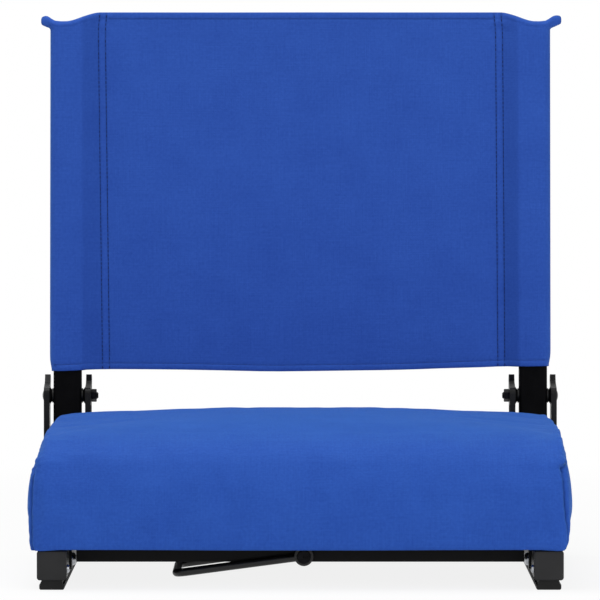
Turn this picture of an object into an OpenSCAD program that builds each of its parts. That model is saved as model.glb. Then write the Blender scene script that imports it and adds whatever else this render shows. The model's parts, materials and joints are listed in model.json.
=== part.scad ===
// Folding stadium chair: a padded seat on a steel base, a sleeve back on two folding uprights, and a bench hook.
// Millimetres. +X points right as seen from the front, -Y is the front, +Z is up, and the floor is z = 0.

/* [Base frame] */
// Width over the two side rails
base_w = 442; // [400:1:500]
// Length of a side rail over its end plugs
base_d = 370; // [350:1:400]
// Side of the square rail tube
rail_size = 25; // [23:0.5:27]
// Wall of the rail and upright tubes
tube_wall = 1.5; // [1.2:0.1:2]
// Outer corner radius of the rail tube
rail_corner = 2.5; // [2.2:0.1:3.5]
// Thickness of the visible face of a rail end plug
plug_face = 2; // [1.5:0.5:3]
// Depth that a plug reaches into its tube
plug_depth = 12; // [8:1:14]
// Height of a rubber runner
runner_h = 8; // [7:0.5:12]
// Width of a runner's sole
runner_w = 21; // [17:0.5:23]
// Height of the sole below the runner's narrower neck
sole_h = 4.5; // [3.5:0.5:6]
// How much narrower the neck is than the sole
neck_step = 3.5; // [2:0.5:5]
// How far a runner stops short of the rail's ends
runner_setback = 2; // [1:0.5:6]

/* [Crossbars] */
// Width of a crossbar channel from front to back
bar_w = 25; // [23:0.5:28]
// Height of a crossbar channel
bar_h = 14; // [13:0.5:16]
// Sheet thickness of a crossbar
bar_t = 2; // [1.5:0.1:2.5]
// Front rail end to the face of the front crossbar
front_bar_setback = 58; // [50:1:70]
// Rear rail end to the rear face of the rear crossbar
rear_bar_setback = 60; // [58:1:75]
// Length at each end where the channel's sides are cut away
bar_notch = 6; // [5:0.5:12]
// How far an end tab hangs below the channel's top
tab_drop = 21; // [19:0.5:23]

/* [Seat] */
// Thickness of the plywood seat board
board_t = 9; // [7:0.5:15]
// How far the board reaches past the rails in front
board_reach = 3.6; // [0:0.2:12]
// How much wider the board is than the base
board_extra_w = 0; // [0:1:12]
// Corner radius of the board
board_corner = 12; // [11:1:20]
// Thickness of the cover fabric with its lining
cover_t = 1; // [0.8:0.1:1.5]
// Width of the cover's margin folded under the board
cover_margin = 36; // [30:1:50]
// Height of the crown above the rails
crown_h = 108.5; // [95:0.5:120]
// Swell of the sides past the board's edge
side_swell = 5.9; // [4:0.1:10]
// Swell of the front past the board's edge
front_swell = 5.5; // [3:0.1:10]
// Swell of the rear past the board's edge
rear_swell = 2; // [1:0.1:3]
// Height of the widest place above the rails
swell_h = 40; // [34:1:48]
// How far the sides draw in from the swell to the top edge
top_draw = 11.3; // [6:0.1:16]
// How far the side panels draw in at the corners
corner_draw = 3; // [1:0.5:5]
// Fall of the crown from the middle to the side edges
side_fall = 11.5; // [8:0.5:16]
// Fall of the top at the rounded front edge
front_fall = 38; // [28:1:45]
// Fall of the top at the rear edge
rear_fall = 13; // [8:0.5:18]
// Space between the cushion and the hinge plates behind it
hinge_space = 3; // [2:0.5:8]

/* [Hinges] */
// Height of the pivot above the crown of the seat
pivot_over_crown = 3.9; // [3.5:0.1:10]
// Rear rail end to the pivot
pivot_setback = 27.5; // [27:0.5:40]
// Thickness of a hinge plate over its pressed rim
plate_t = 5; // [4:0.5:7]
// Sheet thickness of a hinge plate
plate_sheet = 2.5; // [2:0.1:3]
// Width of the pressed rim
plate_rim = 2.6; // [2:0.1:3.5]
// Height of the pressed dimples towards the rail and upright
dimple_h = 2.1; // [1.5:0.1:3]
// Diameter of all frame bolts
bolt_d = 6; // [5:0.5:7]
// Reach of the plate's foot in front of the pivot
foot_front = 28.5; // [27:0.5:32]
// Reach of the plate's foot behind the pivot
foot_rear = 25; // [23:0.5:27]
// Half width of the plate's neck
neck_half = 12.5; // [11.5:0.5:15]
// Diameter of the stop sleeve
stop_d = 10; // [9:0.5:12]
// Height of the stop above the rails
stop_h = 27; // [20:1:32]
// Thickness of a pivot bush's flange
flange_t = 1.3; // [1:0.1:2]

/* [Back] */
// Width of an upright
upright_w = 25; // [23:0.5:27]
// Depth of an upright from front to back
upright_d = 19; // [16:0.5:22]
// Outer corner radius of an upright
upright_corner = 3; // [2.5:0.1:4]
// Lean of the back from upright
recline = 4; // [3:0.5:6]
// Length of an upright below its pivot
upright_low = 98; // [85:1:104]
// Height of the back cover
back_h = 320; // [280:1:380]
// Gap between the pivot and the lower edge of the back cover
back_gap = 23.7; // [20:0.1:40]
// Ease of a pocket over the outer side of its upright
pocket_ease = 3; // [2:0.1:5]
// Upright's inner side to the stitch line that closes a pocket
pocket_valley = 16; // [12:1:24]
// Thickness of one layer of the back fabric
fabric_t = 1.2; // [1:0.1:1.6]
// How far the pocket tops sit below the middle of the top edge
top_dip = 8; // [5:0.5:12]
// How far the free corner of a pocket top sticks out
ear_w = 8; // [5:0.5:10]

/* [Bench hook] */
// Diameter of the hook's rod
rod_d = 7; // [6:0.5:8]
// Length of the arm from its pivot
arm_len = 109; // [90:1:125]
// Length of the tongue that goes under the bench
tongue_len = 97.5; // [80:0.5:120]
// Length of the return leg
return_len = 60; // [40:1:80]
// Bend radius of the rod
rod_bend = 9; // [8:0.5:14]
// Slope of the arm when stowed
arm_slope = 7.5; // [7:0.5:9]
// Sideways place of the hook's pivot
hook_x = 3; // [0:1:20]
// Pivot of the hook below the top of the crossbar
hook_drop = 9; // [8.5:0.1:9.5]

/* [Carry handle] */
// Width of the webbing
strap_w = 25; // [20:1:28]
// Thickness of the webbing
strap_t = 1.8; // [1.4:0.1:2.4]
// Distance between the two strap bolts
strap_span = 150; // [130:1:200]
// How far the handle bows out
strap_bow = 36; // [28:1:42]

/* [Hidden] */
$fn = 48;
LEFT = -1;
RIGHT = 1;

// Clearances
bolt_play = 0.2;
run_play = 0.05;
thread_play = 0.05;
press_play = 0.05;
side_play = 0.1;
soft_gap = 0.3;
foam_gap = 0.9;
cut = 1;

// Base frame levels and places
rail_low = runner_h;
rail_top = runner_h + rail_size;
rail_mid = runner_h + rail_size / 2;
rail_x = base_w / 2 - rail_size / 2;
rail_in_x = base_w / 2 - rail_size;
front_y = -base_d / 2;
rear_y = base_d / 2;
front_bar_y = front_y + front_bar_setback + bar_w / 2;
rear_bar_y = rear_y - rear_bar_setback - bar_w / 2;
rail_len = base_d - 2 * plug_face;
insert_wall = 2;

// Fasteners
bolt_r = bolt_d / 2;
nut_flats = bolt_d * 5 / 3;
nut_r = nut_flats / 2 / cos(30);
nut_h = bolt_d * 5 / 6;
bolt_tail = 1.5;
dome_r = bolt_d * 0.92;
dome_h = 1.6;
head_r = bolt_d * 0.92;
head_h = bolt_d * 0.55;
washer_r = bolt_d;
washer_t = 1.2;
screw_r = 1.9;
screw_len = 10;
screw_head_r = 3.5;
screw_head_h = 2.2;
screw_end_gap = 8;
screw_z = rail_low + rail_size * 0.37;

// Runner screws
runner_screw_r = 1.9;
runner_head_r = 4;
runner_head_h = 2.4;
runner_recess_r = 4.6;
runner_recess_h = 3.4;
runner_screw_len = runner_h - runner_recess_h + tube_wall + 4;
runner_screw_end = 30;

// Seat
board_gap = 0.4;
board_low = rail_top + cover_t;
board_top = board_low + board_t;
board_half = base_w / 2 + board_extra_w / 2;
pivot_y = rear_y - pivot_setback;
seat_rear = pivot_y - foot_front - hinge_space;
board_rear = seat_rear - rear_swell - cover_t - board_gap;
board_front = front_y - board_reach;
seat_half_low = board_half + board_gap + cover_t;
seat_half_mid = seat_half_low + side_swell;
seat_front_low = board_front - board_gap - cover_t;
seat_front = seat_front_low - front_swell;
seat_rear_low = board_rear + board_gap + cover_t;
seat_mid_y = (seat_front + seat_rear) / 2;
swell_z = rail_top + swell_h;
crown_z = rail_top + crown_h;
side_edge_z = crown_z - side_fall;
front_fall_from = 0.34;
rear_fall_from = 0;
seat_bolt_x = 150;
tee_barrel_r = 4.2;
tee_flange_r = 9.5;
tee_flange_h = 1.5;
seat_corner_r = 10;
dust_corner = seat_corner_r + 3;

// Hinges
pivot_z = crown_z + pivot_over_crown;
plate_gap = max(rail_size, upright_w) / 2 + dimple_h + flange_t + side_play;
plate_stack = plate_gap + plate_t;
spacer_t = plate_gap - rail_size / 2 - dimple_h;
bush_flange = plate_gap - upright_w / 2 - dimple_h - side_play;
bush_r = 5;
bush_flange_r = 6.5;
bush_depth = upright_w / 2 - 1;
dimple_low_r = 8.2;
dimple_top_r = 5.2;
boss_r = 9;
rail_bolt_front = -19;
rail_bolt_rear = pivot_setback - plug_face - plug_depth - bolt_r - 2.5;
stop_z = rail_top + stop_h;
stop_y = -(pivot_z - stop_z) * tan(recline) - upright_d / 2 / cos(recline) - soft_gap - stop_d / 2;
foot_low = rail_low + 3;
foot_top = stop_z + 10;
neck_low = foot_top + 30;
horn_top = pivot_z + 18.4;
plate_outline = [
    [-foot_front, foot_low, 4],
    [foot_rear, foot_low, 4],
    [foot_rear, foot_top - 4, 10],
    [neck_half + 2, neck_low, 16],
    [neck_half + 2, pivot_z - 7, 12],
    [neck_half + 12.5, horn_top - 3, 2.5],
    [neck_half + 3.5, horn_top, 1.5],
    [neck_half - 2, pivot_z + 11.5, 5],
    [-neck_half, pivot_z + 6.5, 5],
    [-neck_half, neck_low, 16],
    [-foot_front, foot_top, 10]
];

// Back, measured along the uprights from the pivot
cover_low = back_gap;
cover_top = back_gap + back_h;
pocket_top = cover_top - top_dip;
upright_top = pocket_top - 5;
upright_x = rail_x;
pocket_out_x = upright_x + upright_w / 2 + pocket_ease;
pocket_in_x = upright_x - upright_w / 2;
stitch_x = pocket_in_x - pocket_valley;
pocket_half = upright_d / 2 + soft_gap + fabric_t;
ear_h = 11;

// Bench hook
front_face_y = front_y + front_bar_setback;
hook_z = rail_top - hook_drop;
hook_y = front_face_y - washer_t - side_play - rod_d / 2;
eye_r = 8;
hook_nut_h = 6;
hook_head_h = 4;
hook_tail = 1;

// Carry handle
rear_face_y = rear_y - rear_bar_setback;
strap_z = rail_top - bar_h / 2 - 1;
strap_flat = 15;
strap_end = 10;
strap_plate_w = 20;
strap_plate_h = 22;
strap_plate_t = 1.6;
strap_plate_r = 3;
strap_bolt_r = 2.5;
strap_head_r = strap_bolt_r * 1.8;
strap_head_h = strap_bolt_r * 1.04;
strap_nut_h = strap_bolt_r * 1.6;
strap_nut_r = strap_bolt_r * 1.84;

// Points and curves

function unit(v) = v / norm(v);
function spun(p, angle) = [p[0] * cos(angle) - p[1] * sin(angle), p[0] * sin(angle) + p[1] * cos(angle)];
function turn(a, b) = a[0] * b[1] - a[1] * b[0];
function xy(p) = [p[0], p[1]];
function near(list, i) = list[(i + len(list)) % len(list)];

// Points of the arc of radius r that rounds corner b between a and c
function fillet(a, b, c, r, steps = 6) =
    let (
        u = unit(a - b),
        v = unit(c - b),
        half = acos(u * v) / 2,
        middle = b + unit(u + v) * r / sin(half),
        p = b + u * r / tan(half) - middle,
        way = turn(p, b + v * r / tan(half) - middle) > 0 ? 1 : -1
    )
    [for (i = [0:steps]) middle + spun(p, way * (180 - 2 * half) * i / steps)];

// Outline with every corner [x, y, radius] rounded
function rounded(corners) = [
    for (i = [0:len(corners) - 1])
        each fillet(xy(near(corners, i - 1)), xy(corners[i]), xy(near(corners, i + 1)), corners[i][2])
];

// Corners of the same outline moved inwards by d, for corners listed anticlockwise
function inset(corners, d) = [
    for (i = [0:len(corners) - 1])
        let (
            b = xy(corners[i]),
            before = unit(b - xy(near(corners, i - 1))),
            after = unit(xy(near(corners, i + 1)) - b),
            n1 = [-before[1], before[0]],
            n2 = [-after[1], after[0]],
            p = b + (n1 + n2) * d / (1 + n1 * n2),
            r = turn(before, after) > 0 ? max(corners[i][2] - d, 0.5) : corners[i][2] + d
        )
        [p[0], p[1], r]
];

// Shared shapes

// Square with true arcs at its corners, centred
module rounded_square(w, d, r) {
    square([w - 2 * r, d], center = true);
    square([w, d - 2 * r], center = true);
    for (x = [-1, 1], y = [-1, 1]) {
        translate([x * (w / 2 - r), y * (d / 2 - r)]) circle(r);
    }
}

module tube_section(w, d, r) {
    difference() {
        rounded_square(w, d, r);
        rounded_square(w - 2 * tube_wall, d - 2 * tube_wall, r - tube_wall);
    }
}

// Builds a right-hand piece on either side of the chair
module on_side(side) {
    mirror([side == LEFT ? 1 : 0, 0, 0]) children();
}

module on_both_sides() {
    for (side = [LEFT, RIGHT]) {
        on_side(side) children();
    }
}

// Local x, y, z become Y, Z, X
module facing_x() {
    rotate([90, 0, 90]) children();
}

// Cylinder along X from x0 to x1
module rod_x(r, x0, x1, y, z) {
    translate([x0, y, z]) rotate([0, 90, 0]) cylinder(r = r, h = x1 - x0);
}

// Cylinder along Y from y0 to y1
module rod_y(r, x, y0, y1, z) {
    translate([x, y1, z]) rotate([90, 0, 0]) cylinder(r = r, h = y1 - y0);
}

module hex_nut(flat_r, h, bore_r) {
    difference() {
        intersection() {
            cylinder(r = flat_r, h = h, $fn = 6);
            rotate_extrude() polygon([
                [0, 0],
                [flat_r * 0.92, 0],
                [flat_r, flat_r * 0.08],
                [flat_r, h - flat_r * 0.08],
                [flat_r * 0.92, h],
                [0, h]
            ]);
        }
        translate([0, 0, -cut]) cylinder(r = bore_r, h = h + 2 * cut);
    }
}

// Low domed head below z = 0, shank above it
module dome_bolt(r, len) {
    cap_r = (dome_r * dome_r + dome_h * dome_h) / (2 * dome_h);
    cylinder(r = r, h = len - 1);
    translate([0, 0, len - 1]) cylinder(r1 = r, r2 = r - 0.8, h = 1);
    rotate_extrude() intersection() {
        translate([0, cap_r - dome_h]) circle(cap_r, $fn = 180);
        translate([0, -dome_h]) square([dome_r, dome_h]);
    }
}

// Button head with a hexagon socket below z = 0, shank above it
module socket_bolt(r, len, head_radius, head_height) {
    socket_r = r * 0.72;
    difference() {
        union() {
            cylinder(r = r, h = len);
            rotate_extrude() polygon([
                [0, 0],
                [head_radius, 0],
                [head_radius, -head_height * 0.3],
                [head_radius * 0.86, -head_height * 0.75],
                [head_radius * 0.6, -head_height],
                [0, -head_height]
            ]);
        }
        translate([0, 0, -head_height - cut]) cylinder(r = socket_r, h = head_height * 0.6 + cut, $fn = 6);
    }
}

// Hexagon head below z = 0, shank above it
module hex_bolt(r, len, flat_r, head_height) {
    cylinder(r = r, h = len);
    translate([0, 0, -head_height]) hex_nut(flat_r, head_height, r * 0.2);
}

module washer(outer_r, inner_r, t) {
    difference() {
        cylinder(r = outer_r, h = t);
        translate([0, 0, -cut]) cylinder(r = inner_r, h = t + 2 * cut);
    }
}

// Base frame

function runner_screw_ys() = [front_y + runner_screw_end, 0, rear_y - runner_screw_end];

module rail() {
    difference() {
        translate([rail_x, rail_len / 2, rail_mid]) rotate([90, 0, 0]) linear_extrude(rail_len) {
            tube_section(rail_size, rail_size, rail_corner);
        }
        for (y = [front_bar_y, rear_bar_y]) {
            rod_x(bolt_r + bolt_play, rail_in_x - cut, rail_in_x + tube_wall + cut, y, rail_mid);
        }
        for (y = [rail_bolt_front, rail_bolt_rear]) {
            rod_x(bolt_r + bolt_play, rail_in_x - cut, base_w / 2 + cut, pivot_y + y, rail_mid);
        }
        for (y = [front_y + screw_end_gap, rear_y - screw_end_gap]) {
            rod_x(screw_r + press_play, rail_in_x - cut, rail_in_x + tube_wall + cut, y, screw_z);
        }
        for (y = runner_screw_ys()) {
            translate([rail_x, y, rail_low - cut]) {
                cylinder(r = runner_screw_r + thread_play, h = tube_wall + 2 * cut);
            }
        }
    }
}

module side_rail_left() {
    color("#26282a") on_side(LEFT) rail();
}

module side_rail_right() {
    color("#26282a") on_side(RIGHT) rail();
}

// Plug with its visible face on z = 0 and its insert below, for a tube of w by d
module tube_plug(w, d, r, depth) {
    in_w = w - 2 * tube_wall - 2 * press_play;
    in_d = d - 2 * tube_wall - 2 * press_play;
    in_r = r - tube_wall;
    hull() {
        translate([0, 0, -plug_face]) linear_extrude(plug_face * 0.6) rounded_square(w, d, r, $fn = 32);
        translate([0, 0, -plug_face]) linear_extrude(plug_face) rounded_square(w - 2, d - 2, r - 1, $fn = 32);
    }
    difference() {
        translate([0, 0, -plug_face - depth]) linear_extrude(depth) rounded_square(in_w, in_d, in_r);
        translate([0, 0, -plug_face - depth - cut]) linear_extrude(depth) {
            rounded_square(in_w - 2 * insert_wall, in_d - 2 * insert_wall, in_r);
        }
    }
}

module rail_end_plugs() {
    color("#3a3d40") on_both_sides() for (end = [0, 180]) {
        difference() {
            translate([rail_x, 0, rail_mid]) rotate([0, 0, end]) translate([0, front_y, 0]) rotate([90, 0, 0]) {
                tube_plug(rail_size, rail_size, rail_corner, plug_depth);
            }
            for (y = [front_y + screw_end_gap, rear_y - screw_end_gap]) {
                rod_x(screw_r + press_play, rail_in_x, rail_in_x + screw_len, y, screw_z);
            }
        }
    }
}

module plug_screws() {
    color("#b9bcc0") on_both_sides() for (y = [front_y + screw_end_gap, rear_y - screw_end_gap]) {
        translate([rail_in_x, y, screw_z]) rotate([0, 90, 0]) {
            socket_bolt(screw_r, screw_len - 1, screw_head_r, screw_head_h);
        }
    }
}

module runner() {
    half = runner_w / 2;
    neck = half - neck_step / 2;
    profile = [
        [-half + 1, 0, 0.9], [half - 1, 0, 0.9], [half, 1, 0.9], [half, sole_h, 0.5],
        [neck, sole_h, 0.6], [neck, runner_h, 0.3], [-neck, runner_h, 0.3], [-neck, sole_h, 0.6],
        [-half, sole_h, 0.5], [-half, 1, 0.9]
    ];
    len = base_d - 2 * runner_setback;
    difference() {
        translate([rail_x, len / 2, 0]) rotate([90, 0, 0]) linear_extrude(len) polygon(rounded(profile));
        for (y = runner_screw_ys()) {
            translate([rail_x, y, -cut]) cylinder(r = runner_recess_r, h = runner_recess_h + cut);
            translate([rail_x, y, -cut]) cylinder(r = runner_screw_r + bolt_play, h = runner_h + 2 * cut);
        }
    }
}

module runner_left() {
    color("#1c1c1c") on_side(LEFT) runner();
}

module runner_right() {
    color("#1c1c1c") on_side(RIGHT) runner();
}

module runner_screws() {
    color("#8c9094") on_both_sides() for (y = runner_screw_ys()) {
        translate([rail_x, y, runner_recess_h]) {
            socket_bolt(runner_screw_r, runner_screw_len, runner_head_r, runner_head_h);
        }
    }
}

// Channel open downwards, with a tab turned down at each end
module crossbar(y) {
    half = bar_w / 2;
    web_half = rail_in_x;
    side_half = rail_in_x - bar_notch;
    channel = [
        [-half, rail_top - bar_h, 0.4], [-half + bar_t, rail_top - bar_h, 0.4],
        [-half + bar_t, rail_top - bar_t, 0.6], [half - bar_t, rail_top - bar_t, 0.6],
        [half - bar_t, rail_top - bar_h, 0.4], [half, rail_top - bar_h, 0.4],
        [half, rail_top, bar_t], [-half, rail_top, bar_t]
    ];
    tab = [
        [-half + bar_t, rail_top - tab_drop, 4], [half - bar_t, rail_top - tab_drop, 4],
        [half - bar_t, rail_top, 0.4], [-half + bar_t, rail_top, 0.4]
    ];
    translate([0, y, 0]) difference() {
        union() {
            translate([-side_half, 0, 0]) facing_x() linear_extrude(2 * side_half) polygon(rounded(channel));
            translate([-web_half, -half + bar_t, rail_top - bar_t]) cube([2 * web_half, bar_w - 2 * bar_t, bar_t]);
            on_both_sides() translate([web_half - bar_t, 0, 0]) facing_x() linear_extrude(bar_t) {
                polygon(rounded(tab));
            }
        }
        on_both_sides() rod_x(bolt_r + bolt_play, web_half - bar_t - cut, web_half + cut, 0, rail_mid);
        for (x = [-seat_bolt_x, seat_bolt_x]) {
            translate([x, 0, rail_top - bar_t - cut]) cylinder(r = bolt_r + bolt_play, h = bar_t + 2 * cut);
        }
    }
}

module front_crossbar() {
    color("#26282a") difference() {
        crossbar(front_bar_y);
        rod_y(bolt_r + bolt_play, hook_x, front_face_y - cut, front_face_y + bar_t + cut, hook_z);
    }
}

module rear_crossbar() {
    color("#26282a") difference() {
        crossbar(rear_bar_y);
        for (x = [-strap_span / 2, strap_span / 2]) {
            rod_y(strap_bolt_r + bolt_play, x, rear_face_y - bar_t - cut, rear_face_y + cut, strap_z);
        }
    }
}

module crossbar_bolts() {
    len = bar_t + tube_wall + nut_h + 1;
    color("#8c9094") on_both_sides() for (y = [front_bar_y, rear_bar_y]) {
        translate([rail_in_x - bar_t, y, rail_mid]) rotate([0, 90, 0]) socket_bolt(bolt_r, len, head_r, head_h);
    }
}

module weld_nuts() {
    color("#8c9094") on_both_sides() for (y = [front_bar_y, rear_bar_y]) {
        translate([rail_in_x + tube_wall, y, rail_mid]) rotate([0, 90, 0]) {
            hex_nut(nut_r, nut_h, bolt_r + thread_play);
        }
    }
}

// Seat

// Share of a rounded edge's full fall at t, from 0 on the flat to 1 at the edge
function edge_fall(t, power) = 1 - pow(1 - pow(t, power), 1 / power);

// Height of the cover's top, where a and b run from -1 to 1 across and along the seat
function seat_top(a, b) =
    let (
        across = side_fall * (0.6 * a * a + 0.4 * pow(abs(a), 12)),
        front = b < front_fall_from ? front_fall * edge_fall((front_fall_from - b) / (front_fall_from + 1), 3) : 0,
        rear = b > rear_fall_from ? rear_fall * edge_fall((b - rear_fall_from) / (1 - rear_fall_from), 2.2) : 0
    )
    crown_z - pow(pow(across, 3) + pow(front + rear, 3), 1 / 3);

// Half width of the cushion at height z
function seat_half(z) =
    z < swell_z
    ? seat_half_mid - side_swell * pow((swell_z - z) / swell_h, 2)
    : seat_half_mid - top_draw * pow((z - swell_z) / (side_edge_z - swell_z), 1.6);

// Share of the front and rear swell at height z
function swell_share(z) = z < swell_z ? 1 - pow((swell_z - z) / swell_h, 2) : 1;

function seat_front_at(z) = seat_front_low - front_swell * swell_share(z);
function seat_rear_at(z) = seat_rear_low + rear_swell * swell_share(z);

// Point of the cushion at a, b and height z, moved in by d
function seat_point(a, b, z, d) =
    let (
        draw = corner_draw * min(1, (z - rail_top) / swell_h) * b * b,
        half = seat_half(z) - draw - d,
        front = seat_front_at(z) + d,
        rear = seat_rear_at(z) - d
    )
    [a * half, seat_mid_y + (b < 0 ? -b * (front - seat_mid_y) : b * (rear - seat_mid_y)), z];

// Rounded loop around the unit square, anticlockwise from the left end of the front edge
long_steps = 8;
short_steps = 6;
loop_a = 1 - seat_corner_r / seat_half_mid;
loop_b = 1 - seat_corner_r / (seat_mid_y - seat_front);
corner_steps = [30, 60];
unit_loop = concat(
    [for (i = [0:long_steps]) [-loop_a + 2 * loop_a * i / long_steps, -1]],
    [for (t = corner_steps) [loop_a + (1 - loop_a) * sin(t), -loop_b - (1 - loop_b) * cos(t)]],
    [for (i = [0:short_steps]) [1, -loop_b + 2 * loop_b * i / short_steps]],
    [for (t = corner_steps) [loop_a + (1 - loop_a) * cos(t), loop_b + (1 - loop_b) * sin(t)]],
    [for (i = [0:long_steps]) [loop_a - 2 * loop_a * i / long_steps, 1]],
    [for (t = corner_steps) [-loop_a - (1 - loop_a) * sin(t), loop_b + (1 - loop_b) * cos(t)]],
    [for (i = [0:short_steps]) [-1, loop_b - 2 * loop_b * i / short_steps]],
    [for (t = corner_steps) [-loop_a - (1 - loop_a) * cos(t), -loop_b - (1 - loop_b) * sin(t)]]
);
loop_n = len(unit_loop);

// Heights of the rings up the side as shares of the way to the top edge, and places of the rings over the top
side_rings = [0.16, 0.36, 0.6, 0.82, 1];
top_rings = [0.985, 0.95, 0.88, 0.74, 0.54, 0.28];

// Rings of the cushion's skin moved in by d, from height low to the last ring before the crown's middle
function seat_rings(low, d) = concat(
    [[for (p = unit_loop) seat_point(p[0], p[1], low, d)]],
    [for (s = side_rings) [
        for (p = unit_loop)
            let (z = low + (seat_top(p[0], p[1]) - d - low) * s)
            seat_point(p[0], p[1], z, d)
    ]],
    [for (f = top_rings) [
        for (p = unit_loop)
            let (q = p * f, z = seat_top(q[0], q[1]) - d)
            seat_point(q[0], q[1], z, d)
    ]]
);

function crown_point(d) = [0, seat_mid_y, seat_top(0, 0) - d];

// Triangles between ring i and ring i + 1, seen from outside when the rings go up anticlockwise
function band(i, n) = [
    for (k = [0:n - 1])
        let (k2 = (k + 1) % n)
        each [[i * n + k, (i + 1) * n + k, (i + 1) * n + k2], [i * n + k, (i + 1) * n + k2, i * n + k2]]
];

// Triangles that close the last ring at one point
function fan(i, n, tip) = [for (k = [0:n - 1]) [i * n + k, tip, i * n + (k + 1) % n]];

function shifted(faces, by) = [for (f = faces) [for (i = f) i + by]];
function flipped(faces) = [for (f = faces) [f[0], f[2], f[1]]];

// Edge of the opening under the board, at height z
function margin_ring(z) = [
    for (p = unit_loop)
        let (edge = seat_point(p[0], p[1], rail_top, 0))
        [
            edge[0] - sign(p[0]) * cover_margin * min(1, abs(p[0]) / loop_a),
            edge[1] - sign(p[1]) * cover_margin * min(1, abs(p[1]) / loop_b),
            z
        ]
];

module seat_cover() {
    outer = concat([margin_ring(rail_top)], seat_rings(rail_top, 0));
    inner = concat([margin_ring(board_low)], seat_rings(board_low, cover_t));
    rings = len(outer);
    half_n = rings * loop_n + 1;
    skin = concat([for (i = [0:rings - 2]) each band(i, loop_n)], fan(rings - 1, loop_n, rings * loop_n));
    rim = [
        for (k = [0:loop_n - 1])
            let (k2 = (k + 1) % loop_n)
            each [[k, k2, half_n + k2], [k, half_n + k2, half_n + k]]
    ];
    color("#2f5cb8") difference() {
        polyhedron(
            points = concat([for (r = outer) each r], [crown_point(0)], [for (r = inner) each r], [crown_point(cover_t)]),
            faces = concat(skin, flipped(shifted(skin, half_n)), rim)
        );
        at_seat_bolts() translate([0, 0, rail_top - cut]) cylinder(r = bolt_r + 1, h = cover_t + 2 * cut);
    }
}

module seat_foam() {
    d = cover_t + foam_gap;
    rings = seat_rings(board_top, d);
    n = len(rings);
    centre = n * loop_n;
    color("#e8dfc4") polyhedron(
        points = concat([for (r = rings) each r], [crown_point(d)], [[0, seat_mid_y, board_top]]),
        faces = concat(
            [for (i = [0:n - 2]) each band(i, loop_n)],
            fan(n - 1, loop_n, centre),
            [for (k = [0:loop_n - 1]) [k, (k + 1) % loop_n, centre + 1]]
        )
    );
}

module at_seat_bolts() {
    for (x = [-seat_bolt_x, seat_bolt_x], y = [front_bar_y, rear_bar_y]) {
        translate([x, y, 0]) children();
    }
}

module seat_board() {
    depth = board_rear - board_front;
    color("#c9a36b") difference() {
        translate([0, (board_rear + board_front) / 2, board_low]) linear_extrude(board_t) {
            rounded_square(2 * board_half, depth, board_corner);
        }
        at_seat_bolts() {
            translate([0, 0, board_low - cut]) cylinder(r = tee_barrel_r + press_play, h = board_t + 2 * cut);
            translate([0, 0, board_top - tee_flange_h]) cylinder(r = tee_flange_r + press_play, h = tee_flange_h + cut);
        }
    }
}

module dust_cover() {
    w = 2 * (seat_half_low - cover_margin - soft_gap);
    front = seat_front_low + cover_margin + soft_gap;
    rear = seat_rear_low - cover_margin - soft_gap;
    color("#141414") difference() {
        translate([0, (front + rear) / 2, rail_top]) linear_extrude(cover_t) {
            rounded_square(w, rear - front, dust_corner);
        }
        at_seat_bolts() translate([0, 0, rail_top - cut]) cylinder(r = bolt_r + 1, h = cover_t + 2 * cut);
    }
}

module seat_bolts() {
    len = washer_t + bar_t + cover_t + board_t - 1;
    color("#8c9094") at_seat_bolts() translate([0, 0, rail_top - bar_t - washer_t]) {
        socket_bolt(bolt_r, len, head_r, head_h);
    }
}

module seat_washers() {
    color("#8c9094") at_seat_bolts() translate([0, 0, rail_top - bar_t - washer_t]) {
        washer(washer_r, bolt_r + bolt_play, washer_t);
    }
}

module tee_nuts() {
    color("#8c9094") at_seat_bolts() difference() {
        union() {
            translate([0, 0, board_low]) cylinder(r = tee_barrel_r, h = board_t - tee_flange_h);
            translate([0, 0, board_top - tee_flange_h]) cylinder(r = tee_flange_r, h = tee_flange_h);
        }
        translate([0, 0, board_low - cut]) cylinder(r = bolt_r + thread_play, h = board_t + 2 * cut);
    }
}

// Hinges

function hinge_holes() = [
    [0, pivot_z, true], [rail_bolt_front, rail_mid, true], [rail_bolt_rear, rail_mid, true], [stop_y, stop_z, false]
];

// Plate in its own plane: its flat inner face on z = 0, its rim above, its dimples below
module plate_shape() {
    difference() {
        union() {
            difference() {
                linear_extrude(plate_t) polygon(rounded(plate_outline));
                translate([0, 0, plate_sheet]) linear_extrude(plate_t) polygon(rounded(inset(plate_outline, plate_rim)));
            }
            for (hole = hinge_holes()) {
                translate([hole[0], hole[1], 0]) cylinder(r = boss_r - (hole[2] ? 0 : 1.5), h = plate_t);
                if (hole[2]) {
                    translate([hole[0], hole[1], -dimple_h]) {
                        cylinder(r1 = dimple_top_r, r2 = dimple_low_r, h = dimple_h);
                    }
                }
            }
        }
        for (hole = hinge_holes()) {
            translate([hole[0], hole[1], -dimple_h - cut]) {
                cylinder(r = bolt_r + bolt_play, h = dimple_h + plate_t + 2 * cut);
            }
        }
    }
}

module outer_plate() {
    translate([rail_x + plate_gap, pivot_y, 0]) facing_x() plate_shape();
}

module inner_plate() {
    translate([rail_x, 0, 0]) mirror([1, 0, 0]) translate([plate_gap, pivot_y, 0]) facing_x() plate_shape();
}

module hinge_plate_left_outer() {
    color("#202224") on_side(LEFT) outer_plate();
}

module hinge_plate_left_inner() {
    color("#202224") on_side(LEFT) inner_plate();
}

module hinge_plate_right_inner() {
    color("#202224") on_side(RIGHT) inner_plate();
}

module hinge_plate_right_outer() {
    color("#202224") on_side(RIGHT) outer_plate();
}

// Bolt through both plates of a hinge, its head outside
module hinge_bolt(y, z) {
    len = 2 * plate_stack + nut_h + bolt_tail;
    translate([rail_x + plate_stack, pivot_y + y, z]) rotate([0, -90, 0]) dome_bolt(bolt_r, len);
}

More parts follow.
